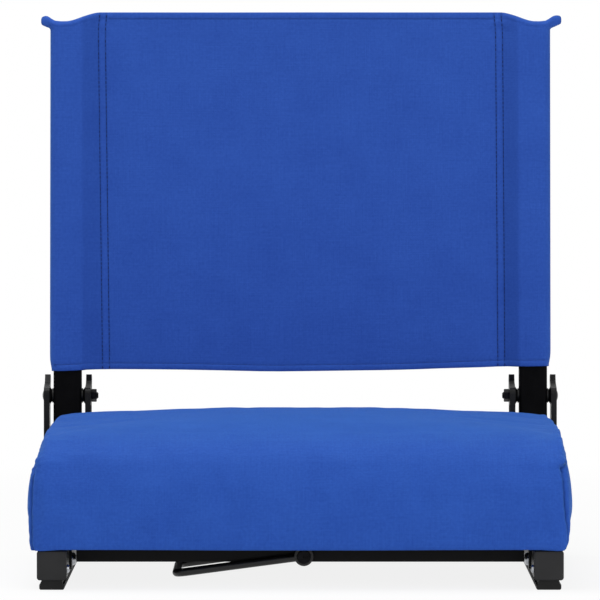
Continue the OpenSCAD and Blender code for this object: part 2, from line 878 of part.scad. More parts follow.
module hinge_nut(y, z) {
    translate([rail_x - plate_stack - nut_h, pivot_y + y, z]) rotate([0, 90, 0]) {
        hex_nut(nut_r, nut_h, bolt_r + thread_play);
    }
}

module pivot_bolts() {
    color("#303336") on_both_sides() hinge_bolt(0, pivot_z);
}

module pivot_nuts() {
    color("#303336") on_both_sides() hinge_nut(0, pivot_z);
}

module rail_bolts() {
    color("#303336") on_both_sides() for (y = [rail_bolt_front, rail_bolt_rear]) {
        hinge_bolt(y, rail_mid);
    }
}

module rail_nuts() {
    color("#303336") on_both_sides() for (y = [rail_bolt_front, rail_bolt_rear]) {
        hinge_nut(y, rail_mid);
    }
}

module spacer_washers() {
    color("#303336") on_both_sides() for (y = [rail_bolt_front, rail_bolt_rear]) {
        for (x = [rail_in_x - spacer_t, base_w / 2]) {
            translate([x, pivot_y + y, rail_mid]) rotate([0, 90, 0]) {
                washer(bush_flange_r, bolt_r + bolt_play, spacer_t);
            }
        }
    }
}

module stop_bolts() {
    color("#303336") on_both_sides() hinge_bolt(stop_y, stop_z);
}

module stop_nuts() {
    color("#303336") on_both_sides() hinge_nut(stop_y, stop_z);
}

module stop_sleeves() {
    color("#5a5d60") on_both_sides() translate([rail_x - plate_gap, pivot_y + stop_y, stop_z]) rotate([0, 90, 0]) {
        washer(stop_d / 2, bolt_r + bolt_play, 2 * plate_gap);
    }
}

// Back

// Puts the pivot at the origin and the uprights along Z
module on_back() {
    translate([0, pivot_y, pivot_z]) rotate([-recline, 0, 0]) children();
}

module upright() {
    on_back() difference() {
        translate([upright_x, 0, -upright_low]) linear_extrude(upright_low + upright_top - plug_face) {
            tube_section(upright_w, upright_d, upright_corner);
        }
        rod_x(bush_r + press_play, upright_x - upright_w, upright_x + upright_w, 0, 0);
    }
}

module upright_left() {
    color("#26282a") on_side(LEFT) upright();
}

module upright_right() {
    color("#26282a") on_side(RIGHT) upright();
}

module upright_plugs() {
    color("#1c1c1c") on_both_sides() on_back() {
        translate([upright_x, 0, upright_top]) tube_plug(upright_w, upright_d, upright_corner, plug_depth);
        translate([upright_x, 0, -upright_low - plug_face]) mirror([0, 0, 1]) {
            tube_plug(upright_w, upright_d, upright_corner, plug_depth);
        }
    }
}

// Flanged bush pushed into the side of an upright
module bush() {
    difference() {
        union() {
            cylinder(r = bush_flange_r, h = bush_flange);
            translate([0, 0, -bush_depth]) cylinder(r = bush_r, h = bush_depth + bush_flange / 2);
        }
        translate([0, 0, -bush_depth - cut]) cylinder(r = bolt_r + run_play, h = bush_depth + bush_flange + 2 * cut);
    }
}

module pivot_bushes() {
    color("#101010") on_both_sides() on_back() for (way = [0, 180]) {
        translate([upright_x, 0, 0]) rotate([0, 0, way]) translate([upright_w / 2, 0, 0]) rotate([0, 90, 0]) bush();
    }
}

// Ease from 0 to 1 between x0 and x1
function ease(x, x0, x1) =
    let (t = min(1, max(0, (x - x0) / (x1 - x0))))
    t * t * (3 - 2 * t);

// Half thickness of the back at distance x from its middle
function back_half(x) =
    x > pocket_out_x - 4
    ? pocket_half - 4.6 * pow((x - pocket_out_x + 4) / 4, 2)
    : fabric_t + (pocket_half - fabric_t) * min(1, max(0, (x - stitch_x - 1) / (pocket_valley - 0.5)));

// Height of the back's top edge at distance x from its middle
function back_top(x) = cover_top - top_dip * ease(x, stitch_x + 4, pocket_in_x + 4);

// Distances from the middle of the back where its outline turns
back_xs = [
    0, stitch_x * 0.25, stitch_x * 0.5, stitch_x * 0.75, stitch_x - 7, stitch_x + 1, stitch_x + 5,
    pocket_in_x - 6, pocket_in_x - 0.5, pocket_in_x + 4, upright_x, pocket_out_x - 4,
    pocket_out_x - 2, pocket_out_x - 0.8, pocket_out_x
];
back_columns = concat([for (i = [len(back_xs) - 1:-1:1]) -back_xs[i]], back_xs);
back_n = len(back_columns);

// Rows up the back: distance below the top edge, and the share of the pocket's thickness there
top_rows = [[4.6, 1], [3, 0.97], [1.2, 0.7], [0, 0.24]];
plain_rows = 5;

function back_row(drop, share, front) = [
    for (x = back_columns)
        let (
            open = back_half(abs(x)),
            h = max(fabric_t, open * share)
        )
        [x, front ? -h : h, back_top(abs(x)) - drop]
];

// Front rows from the bottom up, then the same rows of the rear
function back_rows(front) = concat(
    [for (i = [0:plain_rows - 1])
        let (f = i / plain_rows)
        [for (x = back_columns)
            let (top = back_top(abs(x)) - top_rows[0][0], h = back_half(abs(x)))
            [x, front ? -h : h, cover_low + (top - cover_low) * f]]
    ],
    [for (r = top_rows) back_row(r[0], r[1], front)]
);

module back_shell() {
    rows = plain_rows + len(top_rows);
    n = back_n;
    rear = rows * n;
    function quad(a, b, c, d) = [[a, b, c], [a, c, d]];
    polyhedron(
        points = concat([for (r = back_rows(true)) each r], [for (r = back_rows(false)) each r]),
        faces = concat(
            [for (i = [0:rows - 2], k = [0:n - 2])
                each quad(i * n + k, (i + 1) * n + k, (i + 1) * n + k + 1, i * n + k + 1)],
            [for (i = [0:rows - 2], k = [0:n - 2])
                each quad(rear + i * n + k, rear + i * n + k + 1, rear + (i + 1) * n + k + 1, rear + (i + 1) * n + k)],
            [for (k = [0:n - 2]) each quad(k, k + 1, rear + k + 1, rear + k)],
            [for (k = [0:n - 2])
                let (top = (rows - 1) * n + k)
                each quad(top, rear + top, rear + top + 1, top + 1)],
            [for (i = [0:rows - 2])
                each quad(i * n, rear + i * n, rear + (i + 1) * n, (i + 1) * n)],
            [for (i = [0:rows - 2])
                let (edge = i * n + n - 1)
                each quad(edge, edge + n, rear + edge + n, rear + edge)]
        )
    );
}

// Room for an upright inside its pocket, with the narrow valley towards the stitch line
module pocket_room() {
    in_half = upright_d / 2 + soft_gap;
    section = [
        [pocket_in_x - pocket_valley + 7, -1.2], [pocket_in_x - 0.5, -in_half], [pocket_out_x - 4, -in_half],
        [pocket_out_x - fabric_t - 0.4, -in_half + 2.6], [pocket_out_x - fabric_t - 0.4, in_half - 2.6],
        [pocket_out_x - 4, in_half], [pocket_in_x - 0.5, in_half], [pocket_in_x - pocket_valley + 7, 1.2]
    ];
    translate([0, 0, cover_low - cut]) linear_extrude(upright_top + soft_gap - cover_low + cut) polygon(section);
}

// Free corner of the flat-sewn pocket top
module ear() {
    translate([0, fabric_t, 0]) rotate([90, 0, 0]) linear_extrude(2 * fabric_t) polygon([
        [pocket_out_x - 3, pocket_top - 6.5],
        [pocket_out_x + 1.4, pocket_top - 5.5],
        [pocket_out_x + ear_w * 0.8, pocket_top - 0.3],
        [pocket_out_x + ear_w, pocket_top + ear_h - 6.6],
        [pocket_out_x + ear_w * 0.5, pocket_top + ear_h - 5.8],
        [pocket_out_x - 3, pocket_top - 1.5]
    ]);
}

module back_cover() {
    color("#2d58b0") on_back() difference() {
        union() {
            back_shell();
            on_both_sides() ear();
        }
        on_both_sides() pocket_room();
    }
}

// Bench hook

// Rod along X from the origin
module rod(len) {
    rotate([0, 90, 0]) cylinder(r = rod_d / 2, h = len);
}

// Quarter bend in the X-Y plane from the origin, entering along +X and leaving along +Y
module bend() {
    translate([0, rod_bend, 0]) rotate([0, 0, -90]) rotate_extrude(angle = 90) {
        translate([rod_bend, 0]) circle(rod_d / 2);
    }
}

module bleacher_hook() {
    arm = arm_len - rod_bend;
    tongue = tongue_len - 2 * rod_bend;
    color("#26282a") translate([hook_x, hook_y, hook_z]) rotate([0, 180 - arm_slope, 0]) difference() {
        union() {
            rotate([90, 0, 0]) cylinder(r = eye_r, h = rod_d, center = true);
            rod(arm);
            translate([arm, 0, 0]) bend();
            translate([arm_len, rod_bend, 0]) rotate([0, 0, 90]) {
                rod(tongue);
                translate([tongue, 0, 0]) bend();
                translate([tongue + rod_bend, rod_bend, 0]) rotate([0, 0, 90]) {
                    rod(return_len - rod_bend);
                    translate([return_len - rod_bend, 0, 0]) sphere(rod_d / 2);
                }
            }
        }
        rotate([90, 0, 0]) cylinder(r = bolt_r + run_play, h = rod_d + 2 * cut, center = true);
    }
}

module hook_bolt() {
    head_y = hook_y - rod_d / 2 - side_play - washer_t;
    len = front_face_y + bar_t + hook_nut_h + hook_tail - head_y;
    color("#4a4d50") translate([hook_x, head_y, hook_z]) rotate([-90, 0, 0]) hex_bolt(bolt_r, len, nut_r, hook_head_h);
}

module hook_washers() {
    color("#4a4d50") for (y = [front_face_y - washer_t, hook_y - rod_d / 2 - side_play - washer_t]) {
        translate([hook_x, y, hook_z]) rotate([-90, 0, 0]) washer(washer_r, bolt_r + bolt_play, washer_t);
    }
}

module hook_nut() {
    color("#4a4d50") translate([hook_x, front_face_y + bar_t, hook_z]) rotate([-90, 0, 0]) {
        hex_nut(nut_r, hook_nut_h, bolt_r + thread_play);
    }
}

// Carry handle

// Centre line of the webbing: flat at its ends and bowed between them
function strap_point(x) =
    let (
        half = strap_span / 2 - strap_flat,
        u = min(1, abs(x) / half)
    )
    [x, rear_face_y + strap_t / 2 + strap_bow * pow(1 - pow(u, 3), 1.5)];

function strap_side(x, way) =
    let (
        p = strap_point(x),
        q = unit(strap_point(x + 0.1) - strap_point(x - 0.1))
    )
    p + [-q[1], q[0]] * way * strap_t / 2;

module at_strap_bolts() {
    for (x = [-strap_span / 2, strap_span / 2]) {
        translate([x, 0, strap_z]) children();
    }
}

module carry_strap() {
    end = strap_span / 2 + strap_end;
    steps = 34;
    xs = [for (i = [0:steps]) -end + 2 * end * i / steps];
    color("#161616") difference() {
        translate([0, 0, strap_z - strap_w / 2]) linear_extrude(strap_w) polygon(concat(
            [for (x = xs) strap_side(x, -1)],
            [for (i = [steps:-1:0]) strap_side(xs[i], 1)]
        ));
        at_strap_bolts() rod_y(strap_bolt_r + bolt_play, 0, rear_face_y - cut, rear_face_y + strap_t + cut, 0);
    }
}

module strap_plates() {
    y = rear_face_y + strap_t;
    color("#4a4d50") at_strap_bolts() difference() {
        translate([0, y + strap_plate_t, 0]) rotate([90, 0, 0]) linear_extrude(strap_plate_t) {
            rounded_square(strap_plate_w, strap_plate_h, strap_plate_r);
        }
        rod_y(strap_bolt_r + bolt_play, 0, y - cut, y + strap_plate_t + cut, 0);
    }
}

module strap_bolts() {
    head_y = rear_face_y + strap_t + strap_plate_t;
    len = strap_plate_t + strap_t + bar_t + strap_nut_h + 1;
    color("#8c9094") at_strap_bolts() translate([0, head_y, 0]) rotate([90, 0, 0]) {
        socket_bolt(strap_bolt_r, len, strap_head_r, strap_head_h);
    }
}

module strap_nuts() {
    color("#8c9094") at_strap_bolts() translate([0, rear_face_y - bar_t, 0]) rotate([90, 0, 0]) {
        hex_nut(strap_nut_r, strap_nut_h, strap_bolt_r + thread_play);
    }
}

side_rail_left();
side_rail_right();
front_crossbar();
rear_crossbar();
rail_end_plugs();
plug_screws();
runner_left();
runner_right();
runner_screws();
crossbar_bolts();
weld_nuts();
seat_board();
seat_foam();
seat_cover();
dust_cover();
seat_bolts();
seat_washers();
tee_nuts();
hinge_plate_left_outer();
hinge_plate_left_inner();
hinge_plate_right_inner();
hinge_plate_right_outer();
pivot_bolts();
pivot_nuts();
rail_bolts();
rail_nuts();
spacer_washers();
stop_bolts();
stop_nuts();
stop_sleeves();
upright_left();
upright_right();
upright_plugs();
pivot_bushes();
back_cover();
bleacher_hook();
hook_bolt();
hook_washers();
hook_nut();
carry_strap();
strap_plates();
strap_bolts();
strap_nuts();
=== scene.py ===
"""Looks of the folding stadium chair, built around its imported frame. Metres, +Z is up and -Y is the front."""

import json
import math

import bpy
import numpy as np
from mathutils import Euler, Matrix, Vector
from mathutils.kdtree import KDTree


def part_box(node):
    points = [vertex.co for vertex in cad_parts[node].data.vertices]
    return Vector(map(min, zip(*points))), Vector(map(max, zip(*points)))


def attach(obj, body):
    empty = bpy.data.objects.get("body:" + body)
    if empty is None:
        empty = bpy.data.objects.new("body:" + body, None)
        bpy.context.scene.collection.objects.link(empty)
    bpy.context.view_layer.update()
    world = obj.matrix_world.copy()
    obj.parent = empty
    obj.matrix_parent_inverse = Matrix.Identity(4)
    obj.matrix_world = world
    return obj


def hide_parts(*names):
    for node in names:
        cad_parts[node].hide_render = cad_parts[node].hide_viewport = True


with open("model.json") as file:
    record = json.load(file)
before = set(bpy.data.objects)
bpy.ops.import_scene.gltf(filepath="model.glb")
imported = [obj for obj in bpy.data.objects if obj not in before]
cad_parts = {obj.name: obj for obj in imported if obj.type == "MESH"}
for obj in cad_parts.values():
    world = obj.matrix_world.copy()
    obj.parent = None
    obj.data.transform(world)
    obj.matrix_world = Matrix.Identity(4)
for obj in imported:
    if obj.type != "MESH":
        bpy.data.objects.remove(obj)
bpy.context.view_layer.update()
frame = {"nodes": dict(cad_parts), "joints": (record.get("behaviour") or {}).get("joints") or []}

nodes = frame["nodes"]
MM = 0.001

# Camera, as far from the chair and as high as the photograph shows it
CAMERA_PLACE = (-0.00025, -5.035, 0.419)
CAMERA_PITCH = 87.926
CAMERA_LENS = 347.9
# Name, place, what it shines at, size and watts
LAMPS = [
    ("lamp_above", (-0.5, -0.15, 1.9), (0, 0, 0.2), (1.7, 1.3), 25),
    ("lamp_front", (1.1, -2.3, 0.8), (0, 0, 0.15), (1.4, 1.2), 15.5),
    ("lamp_side", (2.0, -1.2, 0.8), (0, 0, 0.2), (0.9, 1.4), 7.5),
]

# Weave of the blue canvas
YARN_PITCH = 0.85 * MM

# Seat, read from the frame
seat_low, seat_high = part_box("seat_cover")
SEAT_HALF = seat_high.x
SEAT_FRONT = seat_low.y
SEAT_REAR = seat_high.y
SEAT_BOTTOM = seat_low.z
CROWN = seat_high.z - 0.4 * MM
SEAT_MID = (SEAT_FRONT + SEAT_REAR) / 2
# Its cover swells from the foot up to one height and draws in again to the top
SWELL_HEIGHT = 40 * MM
SIDE_SWELL = 4.9 * MM
FRONT_SWELL = 5.5 * MM
REAR_SWELL = 2 * MM
SIDE_SPARE = 0.8 * MM
TOP_DRAW = 9.5 * MM
TOP_HEIGHT = 57.5 * MM
CORNER_DRAW = 3 * MM
PLAN_CORNER = 10 * MM
# How much fuller each side is, and how far both lean to the right, at heights over the foot
SIDE_HEIGHT = np.array([0, 8, 15, 22, 30, 43, 49, 62, 65.5, 69, 73, 80, 86, 93, 97, 101]) * MM
SIDE_PUFF = np.array([1, 0.6, 0.7, 1.1, 1.15, 1.55, 1.75, 1.75, 1.15, 0.35, 0.4, 0.2, -0.3, -0.4, 0.3, 1.3]) * MM
SIDE_LEAN = np.array([-1.5, -1, -0.8, -0.5, -0.5, -0.4, -0.4, -0.4, -0.05, 0.8, 1.2, 1.5, 1.8, 2.1, 3.5, 5]) * MM
# How far the top lies under its crown, at distances behind the front: the foam edge is the step from 8 to 10
FRONT_BACK = np.array([0, 1, 2.5, 4, 6, 8, 10, 14, 22, 35, 60, 100, 140, 215]) * MM
FRONT_FALL = np.array([49, 45.5, 41.5, 38, 34, 30.6, 28.4, 25.2, 20.2, 14.4, 8, 3, 0.8, 0]) * MM
SIDE_FALL = 8.2 * MM
REAR_FALL = 13 * MM
# The foam pushes the cover out along the top side edges, more up than out
EDGE_WIDTH = 4.6 * MM
LEFT_EDGE_FULL = 1.7 * MM
RIGHT_EDGE_FULL = 3.9 * MM
EDGE_OUT = 0.48
EDGE_UP = 0.88
FOAM_EDGE_HEIGHT = 108 * MM
# How far under the crown the main panel's flat map turns down over the front and the rear
TURN_DOWN = 26 * MM
# The cloth is cut with slack, blown up to no more than its fullest, and keeps a share of the wrinkles that it makes
SLACK = 5 * MM
CLOTH_STEP = 4.8 * MM
CANVAS_CLOTH = {
    "quality": 6, "mass": 0.25, "tension_stiffness": 18, "compression_stiffness": 18, "shear_stiffness": 8,
    "bending_stiffness": 0.35, "shrink_min": -0.035, "use_pressure": True, "uniform_pressure_force": 4,
}
BLOWN_FRAMES = 20
FULLEST = 26 * MM
WRINKLE_ROUNDS = 60
WRINKLE_SHARE = 0.4
SEAM_REACH = 9 * MM
# The seam round a side panel, in mm: up each front corner from its foot, then over the side to the rear
SEAM_FRONTS = {
    -1: [(224.2, -184, 33), (226, -187.5, 52), (226.7, -188.3, 76), (226, -187.5, 94), (224.6, -182.5, 103)],
    1: [(222.5, -179, 33), (223.5, -184, 45), (223.1, -189.8, 60), (222.1, -191.9, 76), (221.4, -191.5, 94),
        (220.8, -188.5, 104.3)],
}
SEAM_REST = [
    (225, -166, 106.5), (223.8, -145, 110), (222.8, -120, 112), (223, -60, 113), (223, 0, 113), (222.8, 60, 112),
    (222, 100, 109.5), (222.6, 116, 104), (224.5, 121.5, 92), (225.4, 122.5, 70), (222.5, 121.5, 33),
]
# Where each front corner's seam pinches the cloth
PINCHES = {-1: np.array([-225.3, -181, 102.5]) * MM, 1: np.array([220.4, -187.2, 103.8]) * MM}
# The foot stays as it is cut up to one height, and has its full slack from another
INSET_FROM = 10 * MM
INSET_FULL = 32 * MM
FOOT_SPARE = 2.6 * MM
# Its margin is folded under the board, and ends at the dust cloth
dust_low, dust_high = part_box("dust_cover")
DUST_LAP = 1.6 * MM
MARGIN_THICK = 1.3 * MM
# How far the front of the foot is lifted off the crossbar, at distances from the middle
LIFT_OUT = np.array([0, 60, 120, 170, 201, 208, 216]) * MM
FRONT_LIFT = np.array([0.5, 0.5, 0.8, 0.9, 0.9, 0.5, 0]) * MM

# Back, across from its middle and along the uprights from the pivot
fold_joint = next(joint for joint in frame["joints"] if joint["name"] == "back_fold")
PIVOT = Vector(fold_joint["pos_m"])
RECLINE = math.radians(4)
UPRIGHT_IN = 196 * MM
UPRIGHT_OUT = 221 * MM
SLEEVE_LOW = 23.7 * MM
SLEEVE_TOP = 343.7 * MM
POCKET_DIP = 8.1 * MM
POCKET_OUT = 224 * MM
POCKET_HALF = 10.3 * MM
LAYER_HALF = 0.75 * MM
CLOTH_THICK = 1 * MM
HEM = 5.3 * MM
TOP_HEM = 5.4 * MM
# Two rows of stitches beside each pocket, which wander over to the right on their way down
STITCH_OUT = 181.6 * MM
STITCH_IN = 175.4 * MM
STITCH_MID = (STITCH_IN + STITCH_OUT) / 2
LEAN_LEFT = 4.7 * MM
LEAN_RIGHT = 1.9 * MM
LEAN_WIDTH = 12 * MM
SEAM_DRAW = 1.4 * MM
PITCH = 3.7 * MM
STITCH_RADIUS = 0.4 * MM
STITCH_LENGTH = 2.5 * MM
HEM_END = 219 * MM
# How far the lower edge rises over its straight line, at places from the left to the right
FOOT_ACROSS = np.array(
    [-225, -214, -200, -193, -186, -171, -140, -108, -72, -36, -18, 0, 36, 72, 90, 108, 126, 162, 176, 185, 205, 220]
) * MM
FOOT_RISE = np.array(
    [-1.7, -1.9, -1.35, -0.4, -0.2, 0, -0.1, -0.4, -1.1, -1.9, -2, -1.8, -1.35, -0.9, -0.55, 0, 0.7, 1.7, 2.35, 2.5,
     2.2, 2.6]
) * MM
# Each pocket has a free corner, an ear that stands out under the top edge, and the right one is the longer
EAR_RISE = 4.9 * MM
EAR_TOP = 6.9 * MM
RIGHT_EAR_OUT = 1.7 * MM
RIGHT_EAR_UP = 0.9 * MM
EAR_DROP = np.array([3.6, 4.6, 6.2, 8.8, 10.4, 11.5, 12.3, 13.2, 14.8]) * MM
EAR_REACH = np.array([6.9, 8, 8.4, 8.4, 7.9, 6, 3.4, 1.3, 0]) * MM
FOLD_FROM = 215 * MM
FOLD_STEPS = 9
FOLD_POWER = 2 / 2.7
# Columns of the sleeve's points: from, to and how many, in mm from the middle, closer at the stitches
COLUMN_RUNS = [(0, 166, 36), (166, 172, 3), (172, 184, 12), (184, 198, 9), (198, 215, 7)]
# Rows of its points over its foot and under its top edge, with even rows between them
FOOT_ROWS = np.array([0, 0.6, 1.4, 2.4, 3.4, 4.2, 4.8, 5.4, 6.2, 7.4, 9.2, 11.6, 15]) * MM
HEAD_ROWS = np.array(
    [24, 20, 17, 14.5, 12.5, 10.8, 9.4, 8.2, 7.2, 6.4, 5.6, 4.8, 4, 3.2, 2.4, 1.6, 0.9, 0.35, 0]
) * MM
EVEN_ROWS = 76


def paint(red, green, blue):
    """Colour as written in 0 to 255, in the linear values that Blender keeps."""
    shares = [channel / 255 for channel in (red, green, blue)]
    return [s / 12.92 if s <= 0.04045 else ((s + 0.055) / 1.055) ** 2.4 for s in shares] + [1]


def tinted(colour, share, lift=0):
    """A colour made darker or lighter by a share, and lifted off black."""
    return [min(1, channel * share + lift) for channel in colour[:3]] + [1]


class Signal:
    """A value that a finish works out. Python's operators on it add Math nodes."""

    def __init__(self, finish, socket):
        self.finish = finish
        self.socket = socket

    def math(self, operation, *values):
        return self.finish.node("Math", {"operation": operation}, dict(enumerate(values)))

    def __add__(self, other):
        return self.math("ADD", self, other)

    def __radd__(self, other):
        return self.math("ADD", other, self)

    def __sub__(self, other):
        return self.math("SUBTRACT", self, other)

    def __rsub__(self, other):
        return self.math("SUBTRACT", other, self)

    def __mul__(self, other):
        return self.math("MULTIPLY", self, other)

    def __rmul__(self, other):
        return self.math("MULTIPLY", other, self)

    def __pow__(self, other):
        return self.math("POWER", self, other)

    def __abs__(self):
        return self.math("ABSOLUTE", self)

    def sine(self):
        return self.math("SINE", self)

    def wave(self, half):
        """Sine that comes back to 0 after every half."""
        return (self * (math.pi / half)).sine()

    def over(self, low, high):
        """0 below low, 1 above high and a straight ramp between."""
        ends = {"From Min": low, "From Max": high, "To Min": 0, "To Max": 1}
        return self.finish.node("MapRange", {"clamp": True}, {"Value": self, **ends})


class Finish:
    """A procedural material with one Principled shader. What never varies is set on the shader's own sockets."""

    def __init__(self, name, **fixed):
        self.material = bpy.data.materials.new(name)
        self.material.use_nodes = True
        self.tree = self.material.node_tree
        self.shader = self.tree.nodes["Principled BSDF"]
        for socket, value in fixed.items():
            self.shader.inputs[socket.replace("_", " ")].default_value = value

    def node(self, kind, settings, inputs, output=0):
        """Adds a node: its settings first, then the values or links of its sockets. Returns one output."""
        made = self.tree.nodes.new("ShaderNode" + kind)
        for key, value in settings.items():
            setattr(made, key, value)
        for key, value in inputs.items():
            self.feed(made.inputs[key], value)
        return Signal(self, made.outputs[output])

    def feed(self, socket, value):
        if isinstance(value, Signal):
            self.tree.links.new(value.socket, socket)
        else:
            socket.default_value = value

    def shade(self, **values):
        """Feeds the shader's sockets with what varies over the surface."""
        for socket, value in values.items():
            self.feed(self.shader.inputs[socket.replace("_", " ")], value)

    def place(self):
        return self.node("TexCoord", {}, {}, "Object")

    def stretched(self, vector, x, y, z):
        return self.node("VectorMath", {"operation": "MULTIPLY"}, {0: vector, 1: (x, y, z)})

    def noise(self, vector, scale, detail=3, roughness=0.55):
        sizes = {"Scale": scale, "Detail": detail, "Roughness": roughness}
        return self.node("TexNoise", {}, {"Vector": vector, **sizes})

    def speckle(self, vector, scale, output="Distance"):
        return self.node("TexVoronoi", {}, {"Vector": vector, "Scale": scale}, output)

    def mixed(self, factor, first, second):
        colours = {0: factor, 6: first, 7: second}
        return self.node("Mix", {"data_type": "RGBA"}, colours, 2)

    def bumped(self, height, distance):
        """Normal of a surface whose height of 1 stands out by distance."""
        return self.node("Bump", {}, {"Height": height, "Distance": distance, "Strength": 1})


def wrapped_axes(finish):
    """The two directions of the cloth's own flat map, in metres."""
    flat = finish.node("UVMap", {"uv_map": "cloth"}, {})
    across = finish.node("SeparateXYZ", {}, {"Vector": flat}, "X")
    along = finish.node("SeparateXYZ", {}, {"Vector": flat}, "Y")
    return flat, across, along


def canvas(name, dark, light, pitch):
    """Plain-woven polyester canvas: yarns over and under, slubs along both, and a soft unevenness of its dye.
    Painted shade from the points' shade value darkens it, and painted shade and highlight follow the weave.
    """
    finish = Finish(name, Specular_IOR_Level=0.14, Sheen_Weight=0.25, Sheen_Roughness=0.4)
    finish.shader.inputs["Sheen Tint"].default_value = paint(90, 172, 195)
    flat, across, along = wrapped_axes(finish)
    crossing = across.wave(pitch) * along.wave(pitch)
    yarn = abs(crossing) ** 0.6
    warp = finish.noise(finish.stretched(flat, 1 / pitch, 28, 1), 1, 2)
    weft = finish.noise(finish.stretched(flat, 28, 1 / pitch, 1), 1, 2)
    dye = finish.noise(flat, 26, 4)
    fuzz = finish.noise(flat, 420, 2)
    # Painted shade in the creases of seams and hems and in valleys, read from the points' shade value
    painted_shade = finish.node("Attribute", {"attribute_name": "shade"}, {}, "Fac")
    tone = 0.5 + (warp - 0.5) * 0.5 + (weft - 0.5) * 0.5 + (dye - 0.5) * 0.6 + (fuzz - 0.5) * 0.9 + crossing * 0.1
    # Painted highlight on the yarn crowns and painted shade in the hollows between them
    tone = (tone + (yarn - 0.6) * 0.25).over(0, 1)
    cloth = finish.mixed(tone, dark, light)
    finish.shade(
        Base_Color=finish.mixed(painted_shade, cloth, tinted(dark, 0.42)),
        Roughness=0.86 - (yarn * 0.12),
        Normal=finish.bumped(yarn * 0.5 + warp * 0.4 + weft * 0.4 + fuzz * 0.25, 0.32 * MM),
    )
    return finish.material


def powder_coat(name, colour, roughness, gloss):
    """Baked powder paint: a fine orange peel, with a faint dust on it."""
    finish = Finish(name, Specular_IOR_Level=gloss)
    place = finish.place()
    peel = finish.noise(place, 950, 2)
    broad = finish.noise(place, 60, 3)
    dust = finish.speckle(place, 2600)
    lighter = tinted(colour, 1.55, 0.002)
    finish.shade(
        Base_Color=finish.mixed((broad * 0.7 + peel * 0.3).over(0.3, 0.75), colour, lighter),
        Roughness=roughness + (broad - 0.5) * 0.14 + (peel - 0.5) * 0.12,
        Normal=finish.bumped(peel + dust * 0.25, 0.09 * MM),
    )
    return finish.material


def plated(name, colour, roughness, streak):
    """Plated steel fastener with fine turning marks and a cloudy plating."""
    finish = Finish(name, Metallic=1, Specular_IOR_Level=0.5)
    place = finish.place()
    cloud = finish.noise(place, 210, 3)
    marks = finish.noise(finish.stretched(place, 3000, 260, 3000), 1, 2)
    darker = tinted(colour, 0.55)
    finish.shade(
        Base_Color=finish.mixed(cloud.over(0.35, 0.7), darker, colour),
        Roughness=roughness + (cloud - 0.5) * 0.2 + (marks - 0.5) * streak,
        Normal=finish.bumped(marks, 0.02 * MM),
    )
    return finish.material


def moulded(name, colour, roughness, grain, depth):
    """Moulded plastic or rubber with a fine sparked grain."""
    finish = Finish(name, Specular_IOR_Level=0.2)
    place = finish.place()
    sparks = finish.noise(place, grain, 2)
    flow = finish.noise(place, 45, 2)
    paler = tinted(colour, 1.35, 0.004)
    finish.shade(
        Base_Color=finish.mixed((flow * 0.6 + sparks * 0.4).over(0.3, 0.7), colour, paler),
        Roughness=roughness + (sparks - 0.5) * 0.2,
        Normal=finish.bumped(sparks, depth),
    )
    return finish.material


def plywood(name):
    """Birch plywood: long grain on the faces and thin glued layers along the edges."""
    finish = Finish(name, Specular_IOR_Level=0.3)
    place = finish.place()
    height = finish.node("SeparateXYZ", {}, {"Vector": place}, "Z")
    layers = height.wave(1.5 * MM).over(-0.4, 0.4)
    grain = finish.noise(finish.stretched(place, 9, 240, 240), 1, 4, 0.65)
    wood = finish.mixed(grain.over(0.3, 0.7), paint(196, 160, 108), paint(222, 192, 144))
    finish.shade(
        Base_Color=finish.mixed(layers * 0.35, wood, paint(150, 108, 66)),
        Roughness=0.62 + (grain - 0.5) * 0.2,
        Normal=finish.bumped(grain, 0.15 * MM),
    )
    return finish.material


def felt(name):
    """Spun-bonded dust cloth: pressed dots in a mat of loose fibres."""
    finish = Finish(name, Specular_IOR_Level=0.2)
    flat, across, along = wrapped_axes(finish)
    dots = across.wave(1.6 * MM) * along.wave(1.6 * MM)
    fibres = finish.noise(flat, 700, 4, 0.7)
    finish.shade(
        Base_Color=finish.mixed(fibres.over(0.3, 0.75), paint(14, 14, 15), paint(46, 46, 48)),
        Roughness=0.9 - (abs(dots) * 0.15),
        Normal=finish.bumped(abs(dots) * 0.6 + fibres * 0.6, 0.18 * MM),
    )
    return finish.material


def webbing(name):
    """Heavy webbing: ribs across it, in a herringbone of two yarn columns, with painted highlight on the ribs and
    painted shade between them.
    """
    finish = Finish(name, Specular_IOR_Level=0.3, Sheen_Weight=0.2, Sheen_Roughness=0.4)
    flat, across, along = wrapped_axes(finish)
    column = across.wave(2.8 * MM)
    slant = (along + abs(column) * (0.9 * MM)).wave(0.75 * MM)
    ribs = abs(slant) * 0.7 + abs(column) * 0.3
    fuzz = finish.noise(flat, 900, 3)
    finish.shade(
        # Painted highlight on the ribs and painted shade between them; the fuzz is the yarn's own uneven tone
        Base_Color=finish.mixed((ribs * 0.6 + fuzz * 0.5).over(0.2, 0.9), paint(9, 9, 10), paint(42, 42, 45)),
        Roughness=0.78 - (ribs * 0.15),
        Normal=finish.bumped(ribs + fuzz * 0.3, 0.3 * MM),
    )
    return finish.material


def thread(name, colour):
    """Bonded sewing thread: two plies twisted together, with painted shade in the grooves between them."""
    finish = Finish(name, Specular_IOR_Level=0.15, Sheen_Weight=0.05)
    place = finish.place()
    slant = finish.node("VectorMath", {"operation": "DOT_PRODUCT"}, {0: place, 1: (5200, 900, 5200)}, "Value")
    twist = abs(slant.sine())
    darker = tinted(colour, 0.45)
    finish.shade(
        # Painted shade in the grooves between the plies
        Base_Color=finish.mixed(twist, darker, colour),
        Roughness=0.62 - (twist * 0.15),
        Normal=finish.bumped(twist, 0.08 * MM),
    )
    return finish.material


def new_object(data):
    """Puts an object of this data, with its name, in the scene."""
    made = bpy.data.objects.new(data.name, data)
    bpy.context.scene.collection.objects.link(made)
    return made


